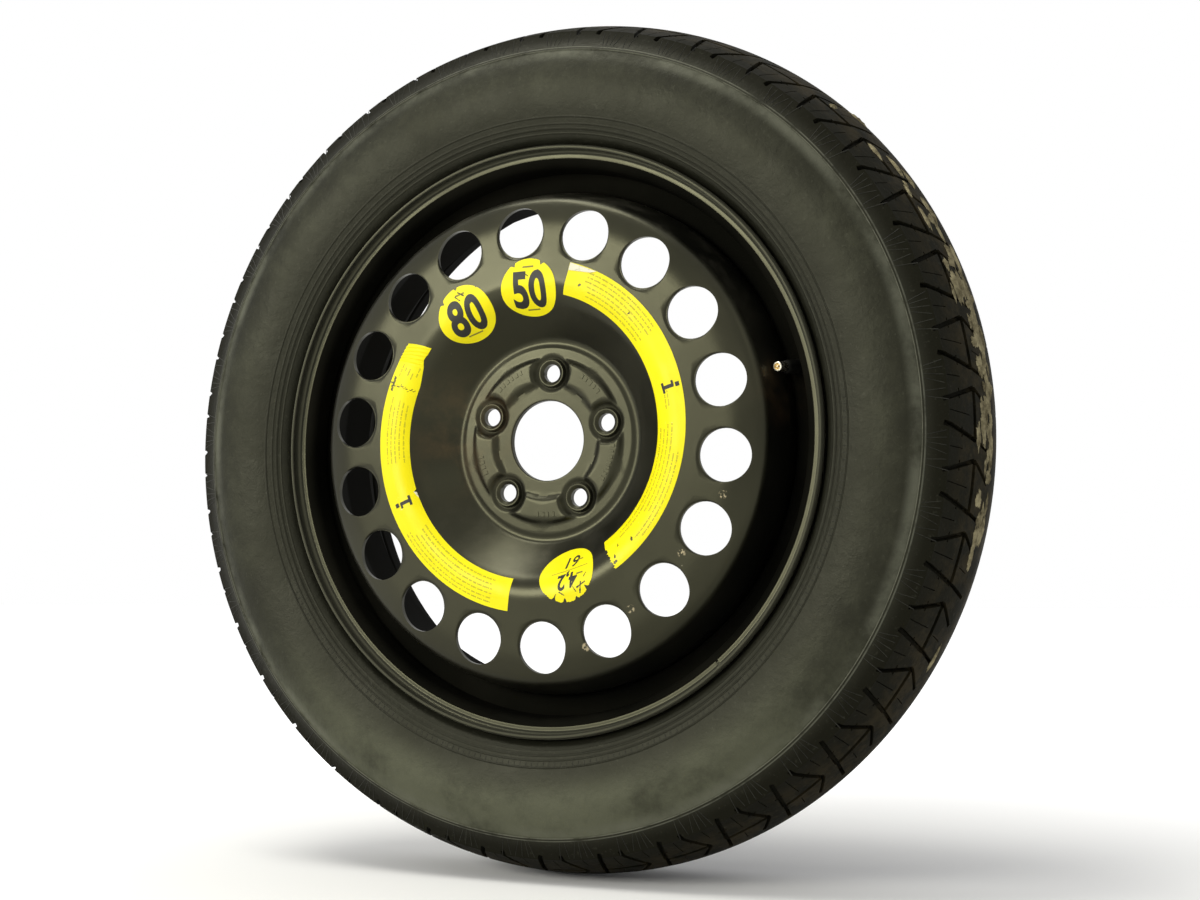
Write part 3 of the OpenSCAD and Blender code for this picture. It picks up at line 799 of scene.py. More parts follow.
def outer_wall_rows(longest):
    """The wall from the join down to the flange, with extra rows where the rings are."""
    line = wall_line[::-1]
    line = line[line[:, 0] < JOIN_R]
    plain = densely(line, longest)[:, 0]
    extra = [middle + side * (width / 2 + s) for middle, width, _ in WALL_RINGS
             for side in (-1, 1) for s in (-0.36, 0, 0.36)]
    radius = np.unique(np.round(np.concatenate([plain, extra, [JOIN_R]]), 3))
    radius = radius[(radius >= wall_line[-1, 0]) & (radius <= JOIN_R)]
    y = np.interp(radius, wall_line[::-1, 0], wall_line[::-1, 1]) + ring_height(radius)
    return np.stack([radius, y], axis=1)[::-1]


def build_wall(name, side, longest, columns):
    """One wall as a closed ring: outside, bead, liner and back to the join."""
    outer = outer_wall_rows(longest)
    inner = liner_line[liner_line[:, 0] < JOIN_R - 1]
    section = np.concatenate([outer, bead_line, inner, outer[:1]])
    section = section * np.array((1, side))
    parts = MeshParts()
    parts.grid(turned_grid(section, columns=columns), closed=True)
    made = parts.build(name, smooth_angle=42)
    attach(made, "wheel")
    return made


tyre_wall_front = build_wall("tyre_wall_front", -1, 1.6, COLUMNS)
tyre_wall_rear = build_wall("tyre_wall_rear", 1, 3.0, COLUMNS)

# %% [markdown]
# ## Tread
# The tread is a smooth crown with grooves cut in it, which is also how its mould is drawn.
# Each groove is a thin strip that follows the crown's curve, and it is taken out with a
# boolean. Strips of one kind never touch each other, so each kind goes in one quick cut.
# Pairs of slanted grooves meet a broken ring groove, and fine slits cross them.

# %% Places on the crown
PITCHES = 40
PITCH_DEG = 360 / PITCHES
GROOVE_W = 4.2
GROOVE_D = 5
over_line = np.concatenate([crown_line, wall_line[1:]])
over_s = np.concatenate([[0], np.cumsum(np.linalg.norm(np.diff(over_line, axis=0), axis=1))])
EDGE_S = float(over_s[len(crown_line) - 1])
RING_Y = 33
RING_S = float(np.interp(RING_Y, over_line[:len(crown_line), 1], over_s[:len(crown_line)]))
print("from the crown's middle to the tread's edge it is", round(EDGE_S, 1), "mm")


def over_tread(clock, s, side, lift):
    """Points on the tyre's outside: clock angle, way from the crown's middle, side, height."""
    clock, s, lift = np.broadcast_arrays(np.asarray(clock, float), np.asarray(s, float),
                                         np.asarray(lift, float))
    r = np.interp(s, over_s, over_line[:, 0])
    y = np.interp(s, over_s, over_line[:, 1])
    ahead_r = np.interp(s + 1, over_s, over_line[:, 0])
    ahead_y = np.interp(s + 1, over_s, over_line[:, 1])
    behind_r = np.interp(np.abs(s - 1), over_s, over_line[:, 0])
    behind_y = np.sign(s - 1) * np.interp(np.abs(s - 1), over_s, over_line[:, 1])
    way = np.stack([ahead_r - behind_r, ahead_y - behind_y], axis=-1)
    way = way / np.linalg.norm(way, axis=-1, keepdims=True)
    r = r + way[..., 1] * lift
    y = y - way[..., 0] * lift
    return on_clock(r, clock, side * y)


# %% Strips that cut the grooves
def strip(path, width, depth, side, first_clock, steps=4, above=2.5):
    """A closed strip that follows path, a list of (pitch share, way from the middle)."""
    path = np.array(path, float)
    t = np.linspace(0, 1, steps + 1)
    knots = np.linspace(0, 1, len(path))
    share = np.interp(t, knots, path[:, 0])
    s = np.interp(t, knots, path[:, 1])
    per_mm = math.degrees(1 / (TYRE_R - 6))
    clock = first_clock + share * PITCH_DEG
    run = np.stack([np.gradient(clock) / per_mm, np.gradient(s)], axis=1)
    run /= np.linalg.norm(run, axis=1, keepdims=True)
    across = np.stack([-run[:, 1], run[:, 0]], axis=1)
    loops = []
    for half, lift in ((-0.5, above), (0.5, above), (0.42, -depth), (-0.42, -depth)):
        loops.append(over_tread(clock + across[:, 0] * half * width * per_mm,
                                s + across[:, 1] * half * width, side, lift))
    return np.stack(loops, axis=1)


def strips_mesh(name, strips):
    """One mesh of many closed strips, each a row of four-cornered loops."""
    points, faces, count = [], [], 0
    for loops in strips:
        rows = len(loops)
        index = count + np.arange(rows * 4).reshape(rows, 4)
        for i in range(rows - 1):
            for k in range(4):
                n = (k + 1) % 4
                faces.append((index[i, k], index[i, n], index[i + 1, n], index[i + 1, k]))
        faces.append(tuple(index[0, ::-1]))
        faces.append(tuple(index[-1]))
        points.append(loops.reshape(-1, 3))
        count += rows * 4
    mesh = bpy.data.meshes.new(name)
    corners = (np.concatenate(points) * MM).tolist()
    mesh.from_pydata(corners, [], [tuple(map(int, f)) for f in faces])
    work = bmesh.new()
    work.from_mesh(mesh)
    bmesh.ops.recalc_face_normals(work, faces=work.faces)
    work.to_mesh(mesh)
    work.free()
    return add_object(name, mesh)


# %% Groove pattern
# Path of each cut inside one pitch: (share of the pitch, way from the middle of the crown).
MID_S = (RING_S + EDGE_S) / 2
GROOVES = {
    "slot_down": ([(-0.02, EDGE_S + 4), (0.09, MID_S + 2), (0.2, RING_S)], GROOVE_W, GROOVE_D),
    "slot_up": ([(0.65, EDGE_S + 4), (0.565, MID_S + 2), (0.48, RING_S)], GROOVE_W, GROOVE_D),
    "ring": ([(0.46, RING_S), (1.22, RING_S)], GROOVE_W, GROOVE_D),
    "crown_down": ([(0.2, RING_S - 1), (0.36, 9)], GROOVE_W * 0.8, GROOVE_D),
    "crown_up": ([(0.48, RING_S - 1), (0.78, 12)], GROOVE_W * 0.8, GROOVE_D),
    "cross_down": ([(0.03, MID_S + 1), (0.17, MID_S + 1)], 1.4, 3),
    "cross_up": ([(0.49, MID_S + 3), (0.64, MID_S + 3)], 1.4, 3),
    "block_slit": ([(0.8, EDGE_S - 1), (0.86, RING_S + 7)], 0.8, 2.5),
    "short_slit": ([(0.31, EDGE_S - 1), (0.33, MID_S)], 0.8, 2.5),
    "rear_slot": ([(0.36, EDGE_S + 2), (0.34, RING_S + 3)], GROOVE_W, GROOVE_D),
    "rib_slit": ([(0.95, RING_S - 5), (1.02, RING_S - 17)], 0.8, 2.5),
}
print(len(GROOVES), "kinds of groove in each of", PITCHES, "pitches")


# %% Tread mesh
def tread_body():
    """The uncut tread: a closed ring from join to join, with its inner face under it."""
    s_join = float(np.interp(-JOIN_R, -over_line[:, 0], over_s))
    s = np.concatenate([np.linspace(0, EDGE_S, 22), np.linspace(EDGE_S, s_join, 6)[1:]])
    r = np.interp(s, over_s, over_line[:, 0])
    y = np.interp(s, over_s, over_line[:, 1])
    outer = np.stack([r, y], axis=1)
    last_inner = liner_line[liner_line[:, 0] > JOIN_R - 1][::-1][::3]
    half = np.concatenate([outer, last_inner[::-1]])
    mirrored = half[::-1] * np.array((1, -1))
    outline = np.concatenate([mirrored[len(last_inner):], outer[1:], last_inner[::-1],
                              mirrored[1:len(last_inner)]])
    parts = MeshParts()
    parts.grid(turned_grid(np.concatenate([outline, outline[:1]])), closed=True)
    return parts.build("tyre_tread")


def build_tread():
    """The body with every kind of groove cut out of it, one boolean for each kind."""
    tread = tread_body()
    cutters = []
    for name, (path, width, depth) in GROOVES.items():
        sides = (1,) if name == "rear_slot" else (-1, 1)
        strips = [strip(path, width, depth, side, (k + (0.5 if side > 0 else 0)) * PITCH_DEG)
                  for side in sides for k in range(PITCHES)]
        cutter = strips_mesh("cut_" + name, strips)
        cut = tread.modifiers.new("cut_" + name, "BOOLEAN")
        cut.operation = "DIFFERENCE"
        cut.object = cutter
        cut.solver = "MANIFOLD"
        cutters.append(cutter)
    graph = bpy.context.evaluated_depsgraph_get()
    cut_mesh = bpy.data.meshes.new_from_object(tread.evaluated_get(graph))
    tread.modifiers.clear()
    tread.data = cut_mesh
    for cutter in cutters:
        bpy.data.objects.remove(cutter)
    cut_mesh.shade_smooth()
    cut_mesh.set_sharp_from_angle(angle=math.radians(32))
    print("tread after cutting", len(cut_mesh.polygons), "faces")
    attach(tread, "wheel")
    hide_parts("tyre")
    return tread


tyre_tread = build_tread()

# %% [markdown]
# ## Mouldings and dried mud
# Thin ribs fan out from the shoulder's ring to each pair of grooves, and short ticks stand
# between two of the wall's rings: both are small raised strips laid on the finished curve.
# The mud on the crown is a scatter of flat lumps with uneven outlines.

# %% Ribs and ticks
RIB_R = (326, 341.5)
RIB_W = 0.8
RIB_H = 0.35
TICK_R = (262.2, 265.6)
TICK_W = 0.7
TICK_H = 0.3
TICK_CLOCKS = np.arange(84, 242, 1.15)
# Each rib: its place at the wall's ring and at the grooves, as shares of the pitch.
FAN = ((0.16, 0.08), (0.21, 0.19), (0.27, 0.31), (0.33, 0.44), (0.52, 0.50), (0.6, 0.66))


def s_at(radius):
    """The way from the crown's middle to a radius on the tyre's wall."""
    return float(np.interp(-radius, -over_line[:, 0], over_s))


def rib(parts, clocks, radii, width, height, side):
    """A low ridge between two places of the tyre's outside, each with a clock and a radius."""
    share = np.linspace(0, 1, 6)
    clock = clocks[0] + (clocks[1] - clocks[0]) * share
    s = np.linspace(s_at(radii[0]), s_at(radii[1]), 6)
    half = math.degrees(width / 2 / radii[0])
    fade = np.minimum(1, np.minimum(share, 1 - share) * 5 + 0.2)
    lifts = (-0.15, height, -0.15)
    rows = [over_tread(clock + k * half, s, side, lift * fade if lift > 0 else lift)
            for k, lift in zip((-1, 0, 1), lifts)]
    parts.grid(np.stack(rows))


def build_ribs(name, side):
    """The fans of ribs round one shoulder and the ticks lower on its wall."""
    parts = MeshParts()
    for k in range(PITCHES):
        first = (k + (0.5 if side > 0 else 0)) * PITCH_DEG
        for shares in FAN:
            clocks = [first + share * PITCH_DEG for share in shares]
            rib(parts, clocks, RIB_R, RIB_W, RIB_H, side)
    for clock in TICK_CLOCKS:
        rib(parts, (clock, clock), TICK_R, TICK_W, TICK_H, side)
    made = parts.build(name, smooth_angle=70)
    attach(made, "wheel")
    return made


tyre_ribs = [build_ribs("tyre_ribs_front", -1), build_ribs("tyre_ribs_rear", 1)]


# %% Dried mud
MUD_LUMPS = 95
MUD_CLOCK = 80
MUD_SPREAD = 15
MUD_R = 350


def build_mud():
    """Square grids pulled round, each with its own wavy outline and uneven top."""
    rng = np.random.default_rng(11)
    parts = MeshParts()
    across = np.linspace(-1, 1, 13)
    u, v = np.meshgrid(across, across)
    around = np.arctan2(v, u)
    rho = np.maximum(np.abs(u), np.abs(v))
    square = rho / np.maximum(np.hypot(u, v), 1e-6)
    for lump in range(MUD_LUMPS):
        clock = rng.normal(MUD_CLOCK, MUD_SPREAD)
        long, wide = rng.uniform(3, 12), rng.uniform(1.5, 4.5)
        s = wide * 1.5 + abs(rng.normal(7, 9))
        edge = 1 + 0.4 * wave(np.sin(around) * 1.7 + np.cos(around) * 1.1, lump)
        uneven = 1 + 0.4 * wave(u * 2 + v * 3, lump)
        lift = rng.uniform(0.7, 1.8) * (1 - rho ** 2) * uneven - 0.15
        parts.grid(over_tread(clock + np.degrees(u * square * edge * long / MUD_R),
                              s + v * square * edge * wide, -1, lift))
    made = parts.build("dried_mud", smooth_angle=80)
    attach(made, "wheel")
    return made


dried_mud = build_mud()

# %% [markdown]
# ## Stickers
# Vinyl stickers follow every bend of the pressing, so their points are worked out on the flat
# (a distance from the axle and a clock angle, or a place inside a round sticker) and are then
# laid on the disc's own section. Tears, a crack and a creased end are drawn in the same flat
# coordinates: cells are left out, edges are notched and points are lifted.

# %% Laying flat shapes on the disc
STICKER_T = 0.25
CREST_SHARE = 0.424
CREST_R = (HUB_R + 6) + CREST_SHARE * (VENT_R - HUB_R - 6)
print("the stickers' crest lies", round(CREST_R, 1), "mm from the axle")


def on_disc(x, z, lift):
    """Points on the disc's front at x and z, raised by lift along the surface's normal."""
    radius = np.hypot(x, z)
    y = line_y(face_line, radius)
    slope = (line_y(face_line, radius + 0.2) - line_y(face_line, radius - 0.2)) / 0.4
    length = np.sqrt(1 + slope * slope)
    push = slope / length * lift / radius
    return np.stack([x + x * push, y - lift / length, z + z * push], axis=-1)


front_radius = np.linspace(HUB_R + 5, 190, 500)
front_steps = np.hypot(np.diff(front_radius), np.diff(line_y(face_line, front_radius)))
front_length = np.concatenate([[0], np.cumsum(front_steps)])


def in_round(centre_r, clock, right, up, lean=0.0):
    """x and z of a place inside a round sticker; with no lean its up points from the axle."""
    cos, sin = math.cos(math.radians(lean)), math.sin(math.radians(lean))
    right, up = right * cos + up * sin, up * cos - right * sin
    centre_s = np.interp(centre_r, front_radius, front_length)
    flat = np.hypot(right, centre_r + up)
    radius = np.interp(centre_s + flat - centre_r, front_length, front_radius)
    turn = np.arctan2(right, radius) + math.radians(clock)
    return radius * np.sin(turn), radius * np.cos(turn)


def on_strip(radius, clock, shift):
    """x and z on a curved strip whose centre may lie off the axle by shift."""
    t = np.radians(clock)
    return radius * np.sin(t) + shift[0], radius * np.cos(t) + shift[1]


# %% Thin sheets
class Sheet:
    """Faces of a thin sheet: kept cells of grids, given a top, an underside and edges."""

    def __init__(self):
        self.work = bmesh.new()

    def grid(self, points, keep=None):
        """Adds a grid [row, column, xyz] in mm; keep says which of its cells get a face."""
        rows, columns = points.shape[:2]
        verts = [[self.work.verts.new(points[i, k] * MM) for k in range(columns)]
                 for i in range(rows)]
        for i in range(rows - 1):
            for k in range(columns - 1):
                if keep is None or keep[i, k]:
                    self.work.faces.new((verts[i][k], verts[i][k + 1], verts[i + 1][k + 1],
                                         verts[i + 1][k]))

    def build(self, name, thickness, replaced=None):
        """Turns the faces outboard, thickens them and returns the finished object."""
        work = self.work
        bmesh.ops.remove_doubles(work, verts=work.verts, dist=1e-6)
        bmesh.ops.delete(work, geom=[v for v in work.verts if not v.link_faces], context="VERTS")
        bmesh.ops.recalc_face_normals(work, faces=work.faces)
        if sum(f.normal.y for f in work.faces) > 0:
            bmesh.ops.reverse_faces(work, faces=work.faces)
        if thickness:
            top = list(work.faces)
            ways = {v: v.normal.copy() for v in work.verts}
            copied = bmesh.ops.duplicate(work, geom=top)
            mirror = copied["vert_map"]
            edge_loops = [e.link_loops[0] for f in top for e in f.edges
                          if len(e.link_faces) == 1]
            for v, way in ways.items():
                mirror[v].co = v.co - way * thickness * MM
            bmesh.ops.reverse_faces(work, faces=[g for g in copied["geom"]
                                                 if isinstance(g, bmesh.types.BMFace)])
            for loop in edge_loops:
                a, b = loop.vert, loop.link_loop_next.vert
                work.faces.new((b, a, mirror[a], mirror[b]))
        mesh = bpy.data.meshes.new(name)
        work.to_mesh(mesh)
        work.free()
        mesh.shade_smooth()
        mesh.set_sharp_from_angle(angle=math.radians(50))
        made = add_object(name, mesh)
        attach(made, "wheel")
        if replaced:
            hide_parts(replaced)
        return made


# %% Round stickers
ROUND_R = 25.6
RAGGED_HALF = 62
# Middles of the round stickers: distance from the axle in mm and clock angle.
PLACE_80 = (CREST_R + 0.5, 330)
PLACE_50 = (CREST_R + 2, 359.3)
PLACE_PRESSURE = (CREST_R - 6, 163.7)


def round_sticker(name, place, notches, ragged=0.0):
    """A round sheet; a notch is (direction, half width in degrees, depth in mm)."""
    turn = np.linspace(0, 360, 145)
    reach = np.full_like(turn, ROUND_R)
    for direction, half, depth in notches:
        gap = np.abs((turn - direction + 180) % 360 - 180)
        reach -= depth * np.clip(1 - gap / half, 0, 1)
    torn = np.abs((turn + 180) % 360 - 180) < RAGGED_HALF
    reach -= ragged * torn * np.abs(wave(turn / 5, 1.0))
    share = np.linspace(0.02, 1, 22)[:, None]
    right = share * reach * np.sin(np.radians(turn))
    up = share * reach * np.cos(np.radians(turn))
    x, z = in_round(*place, right, up)
    sheet = Sheet()
    sheet.grid(on_disc(x, z, STICKER_T + 0.03 * np.abs(wave(turn / 9, 2.0))))
    middle = np.stack([right[0], up[0]], axis=-1)[None] * np.array([[[0.0]], [[1.0]]])
    x, z = in_round(*place, middle[..., 0], middle[..., 1])
    sheet.grid(on_disc(x, z, STICKER_T))
    return sheet.build(name, STICKER_T - 0.02, name.replace("sticker", "label"))


NOTCHES_80 = [(-34, 5, 3.4), (6, 3, 3.2), (52, 2, 1.2)]
NOTCHES_50 = [(-33, 5, 3.0), (30, 5, 3.2)]
NOTCHES_PRESSURE = [(-42, 4, 4.5), (-12, 5, 3), (14, 4, 5), (38, 4, 4)]
sticker_80 = round_sticker("sticker_speed_80", PLACE_80, NOTCHES_80)
sticker_50 = round_sticker("sticker_speed_50", PLACE_50, NOTCHES_50)
sticker_pressure = round_sticker("sticker_pressure", PLACE_PRESSURE, NOTCHES_PRESSURE, 1.0)
print("round stickers", 2 * ROUND_R, "mm across")

# %% Places of the curved stickers
NOTICE_R = CREST_R + 22
NOTICE_W = 26.5
LEFT_CLOCK = (188, 309.5)
RIGHT_R = NOTICE_R - 3
RIGHT_CLOCK = (16, 146)
RIGHT_SHIFT = (-1.3, 7.6)


def columns_for(start, end, busy):
    """Clock angles from start to end, closer together inside the busy stretches."""
    steps = [np.arange(start, end, 0.8), [end]]
    steps += [np.arange(a, b, 0.22) for a, b in busy]
    return np.unique(np.round(np.clip(np.concatenate(steps), start, end), 4))


# %% Left curved sticker
def left_notice():
    """The left strip, with a notch, a crack, a torn hole and a creased end."""
    clock = columns_for(*LEFT_CLOCK, [(246, 252), (285, 297), (299, LEFT_CLOCK[1])])[None, :]
    across = np.linspace(0, NOTICE_W, 38)[:, None]
    notch = 2.6 * np.clip(1 - np.abs(clock - 249.3) / 0.9, 0, 1)
    bulge = 1.3 * ease(clock, 301, 304) * (1 - ease(clock, 304, 307))
    inner = NOTICE_R - NOTICE_W + notch + bulge
    radius = inner + across * (NOTICE_R - inner) / NOTICE_W
    folds = np.sin((clock - 300) * 1.9 + across * 0.07) ** 2 * ease(clock, 300, 303)
    lift = STICKER_T + 0.75 * folds + 0.06 * np.abs(wave(clock / 3, 0.4) * wave(across / 6, 2.1))
    slant = (3.2 - 6.6 * across / NOTICE_W) * ease(clock, 294, LEFT_CLOCK[1])
    x, z = on_strip(radius, clock + slant, (0, 0))
    x = x - 8 * ease(clock, 293, LEFT_CLOCK[1]) * (1 - across / NOTICE_W)
    middle_clock = (clock[:, 1:] + clock[:, :-1]) / 2
    middle = (across[1:] + across[:-1]) / 2
    crack = 291.2 + 0.9 * wave(middle / 4, 0.2)
    gap = 0.16 + 0.2 * np.abs(wave(middle / 2, 1.7))
    tear = (middle > 20.5) & (middle < 25.6) & (np.abs(middle_clock - 291.4) < 2.7)
    tear = tear & (np.abs(middle - 23.2 + wave(middle_clock, 4)) < 1.1)
    keep = ~(((np.abs(middle_clock - crack) < gap) & (middle > 2)) | tear)
    sheet = Sheet()
    sheet.grid(on_disc(x, z, lift), keep)
    return sheet.build("sticker_notice_left", STICKER_T - 0.02, "label_notice_left")


# %% Right curved sticker
# Each hole: clock angle, place across, half length in degrees and half width in mm.
RIGHT_HOLES = ((22.2, 11, 0.5, 1.4), (45.6, 14, 0.35, 1.1), (134.6, 17, 0.5, 1.7),
               (140.4, 12, 0.3, 1.2), (144.2, 22, 0.9, 1.3), (143.4, 18, 0.4, 1.6))


def right_notice():
    """The right strip, with small holes, a ragged end and a lifted corner."""
    clock = columns_for(*RIGHT_CLOCK, [(16, 27), (44, 47), (132, RIGHT_CLOCK[1])])[None, :]
    across = np.linspace(0, NOTICE_W, 38)[:, None]
    end = RIGHT_CLOCK[1] - 0.6 * (1 + wave(across / 2.2, 5.0)) * (across > 8)
    clock = np.minimum(clock, end)
    radius = RIGHT_R - NOTICE_W + across
    x, z = on_strip(radius, clock, RIGHT_SHIFT)
    lift = STICKER_T + 0.06 * np.abs(wave(clock / 3, 1.4) * wave(across / 6, 0.1))
    lift = lift + 0.5 * ease(across, 17, 26) * ease(-clock, -24, -18)
    middle_clock = (clock[1:, 1:] + clock[:-1, :-1]) / 2
    middle = (across[1:] + across[:-1]) / 2
    keep = np.ones_like(middle_clock, bool)
    for at, place, length, width in RIGHT_HOLES:
        along = (middle_clock - at - (middle - place) * 0.15) / length
        keep &= along ** 2 + ((middle - place) / width) ** 2 > 1
    sheet = Sheet()
    sheet.grid(on_disc(x, z, lift), keep)
    return sheet.build("sticker_notice_right", STICKER_T - 0.02, "label_notice_right")


sticker_left = left_notice()
sticker_right = right_notice()
print("curved stickers", NOTICE_W, "mm wide")


# %% Bare paper
def paper_patch(name, corners, lift, steps=6):
    """A small bare patch of backing paper: four flat corners (x, z) laid on a sticker."""
    a, b, c, d = [np.array(v, float) for v in corners]
    s, t = np.meshgrid(np.linspace(0, 1, steps), np.linspace(0, 1, steps))
    s, t = s[..., None], t[..., None]
    flat = a * (1 - s) * (1 - t) + b * s * (1 - t) + c * s * t + d * (1 - s) * t
    sheet = Sheet()
    sheet.grid(on_disc(flat[..., 0], flat[..., 1], STICKER_T + lift))
    return sheet.build(name, 0.08)


fold_corners = [on_strip(RIGHT_R - across, clock, RIGHT_SHIFT)
                for across, clock in ((0.1, 16.1), (0.1, 26.5), (3.0, 24.5), (6.4, 16.1))]
paper_fold = paper_patch("paper_fold", fold_corners, 0.62)
flap_corners = [on_strip(NOTICE_R - NOTICE_W + across, clock, (0, 0))
                for across, clock in ((2.4, 249.6), (0.2, 248.9), (0.1, 246.4), (1.2, 247.6))]
paper_flap = paper_patch("paper_flap", flap_corners, 0.1)
print("paper patches", paper_fold.name, paper_flap.name)

# %% [markdown]
# ## Print on the stickers
# The numerals are text turned into a mesh, cut into small cells so that it can bend, and laid
# on the sticker. The rows of small print are only strokes in groups of uneven length.

# %% Numerals
PRINT_LIFT = STICKER_T + 0.05
NUMERAL_SHARE = 0.73
NUMERAL_REACH = 40
NUMERAL_CELL = 1.3
SPEED_H = 31
LEAN_80 = 12


def numeral(name, text, place, height, squeeze, weight, right=0.0, up=0.0, slant=0.0,
            spacing=1.0, lean=0.0):
    """Text of a height in mm, as a mesh of small cells laid on a round sticker."""
    curve = bpy.data.curves.new(name, "FONT")
    curve.body = text
    curve.size = height / NUMERAL_SHARE
    curve.align_x = "CENTER"
    curve.offset = weight
    curve.shear = slant
    curve.space_character = spacing
    curve.resolution_u = 6
    holder = add_object(name, curve)
    graph = bpy.context.evaluated_depsgraph_get()
    graph.update()
    mesh = bpy.data.meshes.new_from_object(holder.evaluated_get(graph))
    bpy.data.objects.remove(holder)
    work = bmesh.new()
    work.from_mesh(mesh)
    for axis in ((1, 0, 0), (0, 1, 0)):
        for cut in np.arange(-NUMERAL_REACH, NUMERAL_REACH, NUMERAL_CELL):
            bmesh.ops.bisect_plane(work, geom=work.verts[:] + work.edges[:] + work.faces[:],
                                   plane_co=Vector(axis) * cut, plane_no=axis)
    for v in work.verts:
        x, z = in_round(*place, v.co.x * squeeze + right, v.co.y - height / 2 + up, lean)
        v.co = Vector(on_disc(np.array(x), np.array(z), PRINT_LIFT)) * MM
    bmesh.ops.recalc_face_normals(work, faces=work.faces)
    if sum(f.normal.y for f in work.faces) > 0:
        bmesh.ops.reverse_faces(work, faces=work.faces)
    work.to_mesh(mesh)
    work.free()
    mesh.name = name
    made = add_object(name, mesh)
    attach(made, "wheel")
    return made


# Each patch of the letter: middle to the right, middle upwards, width and height in mm.
SLAB_PATCHES = ((0, -1.4, 3.0, 9.0), (0, -6.2, 8.6, 2.2), (-1.7, 2.4, 4.4, 1.9),
                (0.2, 6.3, 3.6, 3.4))


def serif_i(name, place):
    """A letter i with slabs, of four small patches."""
    sheet = Sheet()
    for right, up, width, height in SLAB_PATCHES:
        across = np.linspace(right - width / 2, right + width / 2, 5)[None, :]
        along = np.linspace(up - height / 2, up + height / 2, 7)[:, None]
        x, z = in_round(*place, across, along)
        sheet.grid(on_disc(x, z, PRINT_LIFT + 0.02 * len(sheet.work.faces) / 24 + 0.05))
    return sheet.build(name, 0)


black_print = [
    numeral("print_80", "80", PLACE_80, SPEED_H, 0.73, 1.5, up=0.3, spacing=1.08, lean=LEAN_80),
    numeral("print_50", "50", PLACE_50, SPEED_H, 0.73, 1.5, up=0.3, spacing=1.04),
    numeral("print_pressure_bar", "4,2", PLACE_PRESSURE, 13, 0.85, 0.45, right=-1, up=8.5,
            slant=0.25),
    numeral("print_pressure_psi", "61", PLACE_PRESSURE, 12, 0.9, 0.25, right=-5, up=-9.5,
            slant=0.25),
    serif_i("print_i_left", (NOTICE_R - NOTICE_W / 2, 246.8)),
    serif_i("print_i_right", (NOTICE_R + 1.0 - NOTICE_W / 2, 73.8))]
print("black print", [o.name for o in black_print])

# %% Rows of strokes
# Blocks of rows: first clock, last clock and the rows' places across the sticker in mm.
LEFT_BLOCKS = [(195, 236, (4.5, 8.2, 11.9, 15.6, 19.3, 22.6)),
               (262, 287, (4.5, 8.2, 11.9, 15.6, 19.3)),
               (294.5, 300, (5.5, 9.2, 12.9, 16.6, 20.3))]
RIGHT_BLOCKS = [(24, 58, (4.5, 8.2, 11.9, 15.6, 19.3, 22.8)), (78, 84, (10.5, 13.2)),
                (92, 138, (4.0, 7.7)), (88, 124, (11.4, 15.1)), (100, 132, (18.8, 22.3))]


def dash_rows(name, blocks, base, shift, seed):
    """Rows of tiny strokes that read as print, in groups of uneven length."""
    rng = np.random.default_rng(seed)
    sheet = Sheet()
    for first, last, rows in blocks:
        for row in rows:
            clock = first + rng.uniform(0, 3)
            while clock < last - rng.uniform(0, 4):
                strokes = rng.integers(2, 8)
                for _ in range(strokes):
                    t = clock + np.array([[0, 0.19]])
                    radius = base + row + np.array([[-0.55], [0.55]]) * rng.uniform(0.6, 1.3)
                    x, z = on_strip(radius, t, shift)
                    sheet.grid(on_disc(x, z, PRINT_LIFT + 0.06))
                    clock += 0.4
                clock += 0.45
    return sheet.build(name, 0)


faint_print = [dash_rows("dashes_left", LEFT_BLOCKS, NOTICE_R - NOTICE_W, (0, 0), 3),
               dash_rows("dashes_right", RIGHT_BLOCKS, RIGHT_R - NOTICE_W, RIGHT_SHIFT, 5)]
print("rows of strokes", [o.name for o in faint_print])

# %% Marks and scratches on the round stickers
# Each mark: middle to the right, middle upwards and length in mm.
MARKS = {"marks_80": (PLACE_80, LEAN_80, [(0, 18.6, 9), (0, -18.2, 13)]),
         "marks_50": (PLACE_50, 0, [(0, 18.8, 10), (0, -18.6, 11)]),
         "marks_pressure": (PLACE_PRESSURE, 0, [(-3, -1.4, 34), (-12, 4.5, 6), (-12, -10.5, 5)])}
# Each scratch: its two ends to the right and upwards, and its width in mm.
SCRATCHES = {"scratches_80": (PLACE_80, [(3, 21, 7, 15, 1.3), (-1, 19, 2, 13, 0.9),
                                         (13, 12, 9, 6, 1.2)]),
             "scratches_50": (PLACE_50, [(-13, 12, -5, 15, 1.2), (-5, 15, 0, 11, 0.9),
                                         (9, 16, 12, 12, 1.0)]),
             "scratches_pressure": (PLACE_PRESSURE, [(-12, 12, -9, 21, 1.4), (-16, 13, -7, 16, 1.3),
                                                     (-4, 14, -6, 19, 1.0), (5, 19, 9, 15, 1.3),
                                                     (12, 16, 15, 19, 1.1), (-18, 6, -15, 9, 0.9)])}
round_marks = []
for name, (place, lean, marks) in MARKS.items():
    sheet = Sheet()
    for right, up, length in marks:
        thick = 0.25 if length > 30 else 0.7
        across = np.linspace(right - length / 2, right + length / 2, 8)[None, :]
        x, z = in_round(*place, across, np.array([[up - thick], [up + thick]]), lean)
        sheet.grid(on_disc(x, z, PRINT_LIFT + 0.04))
    round_marks.append(sheet.build(name, 0))
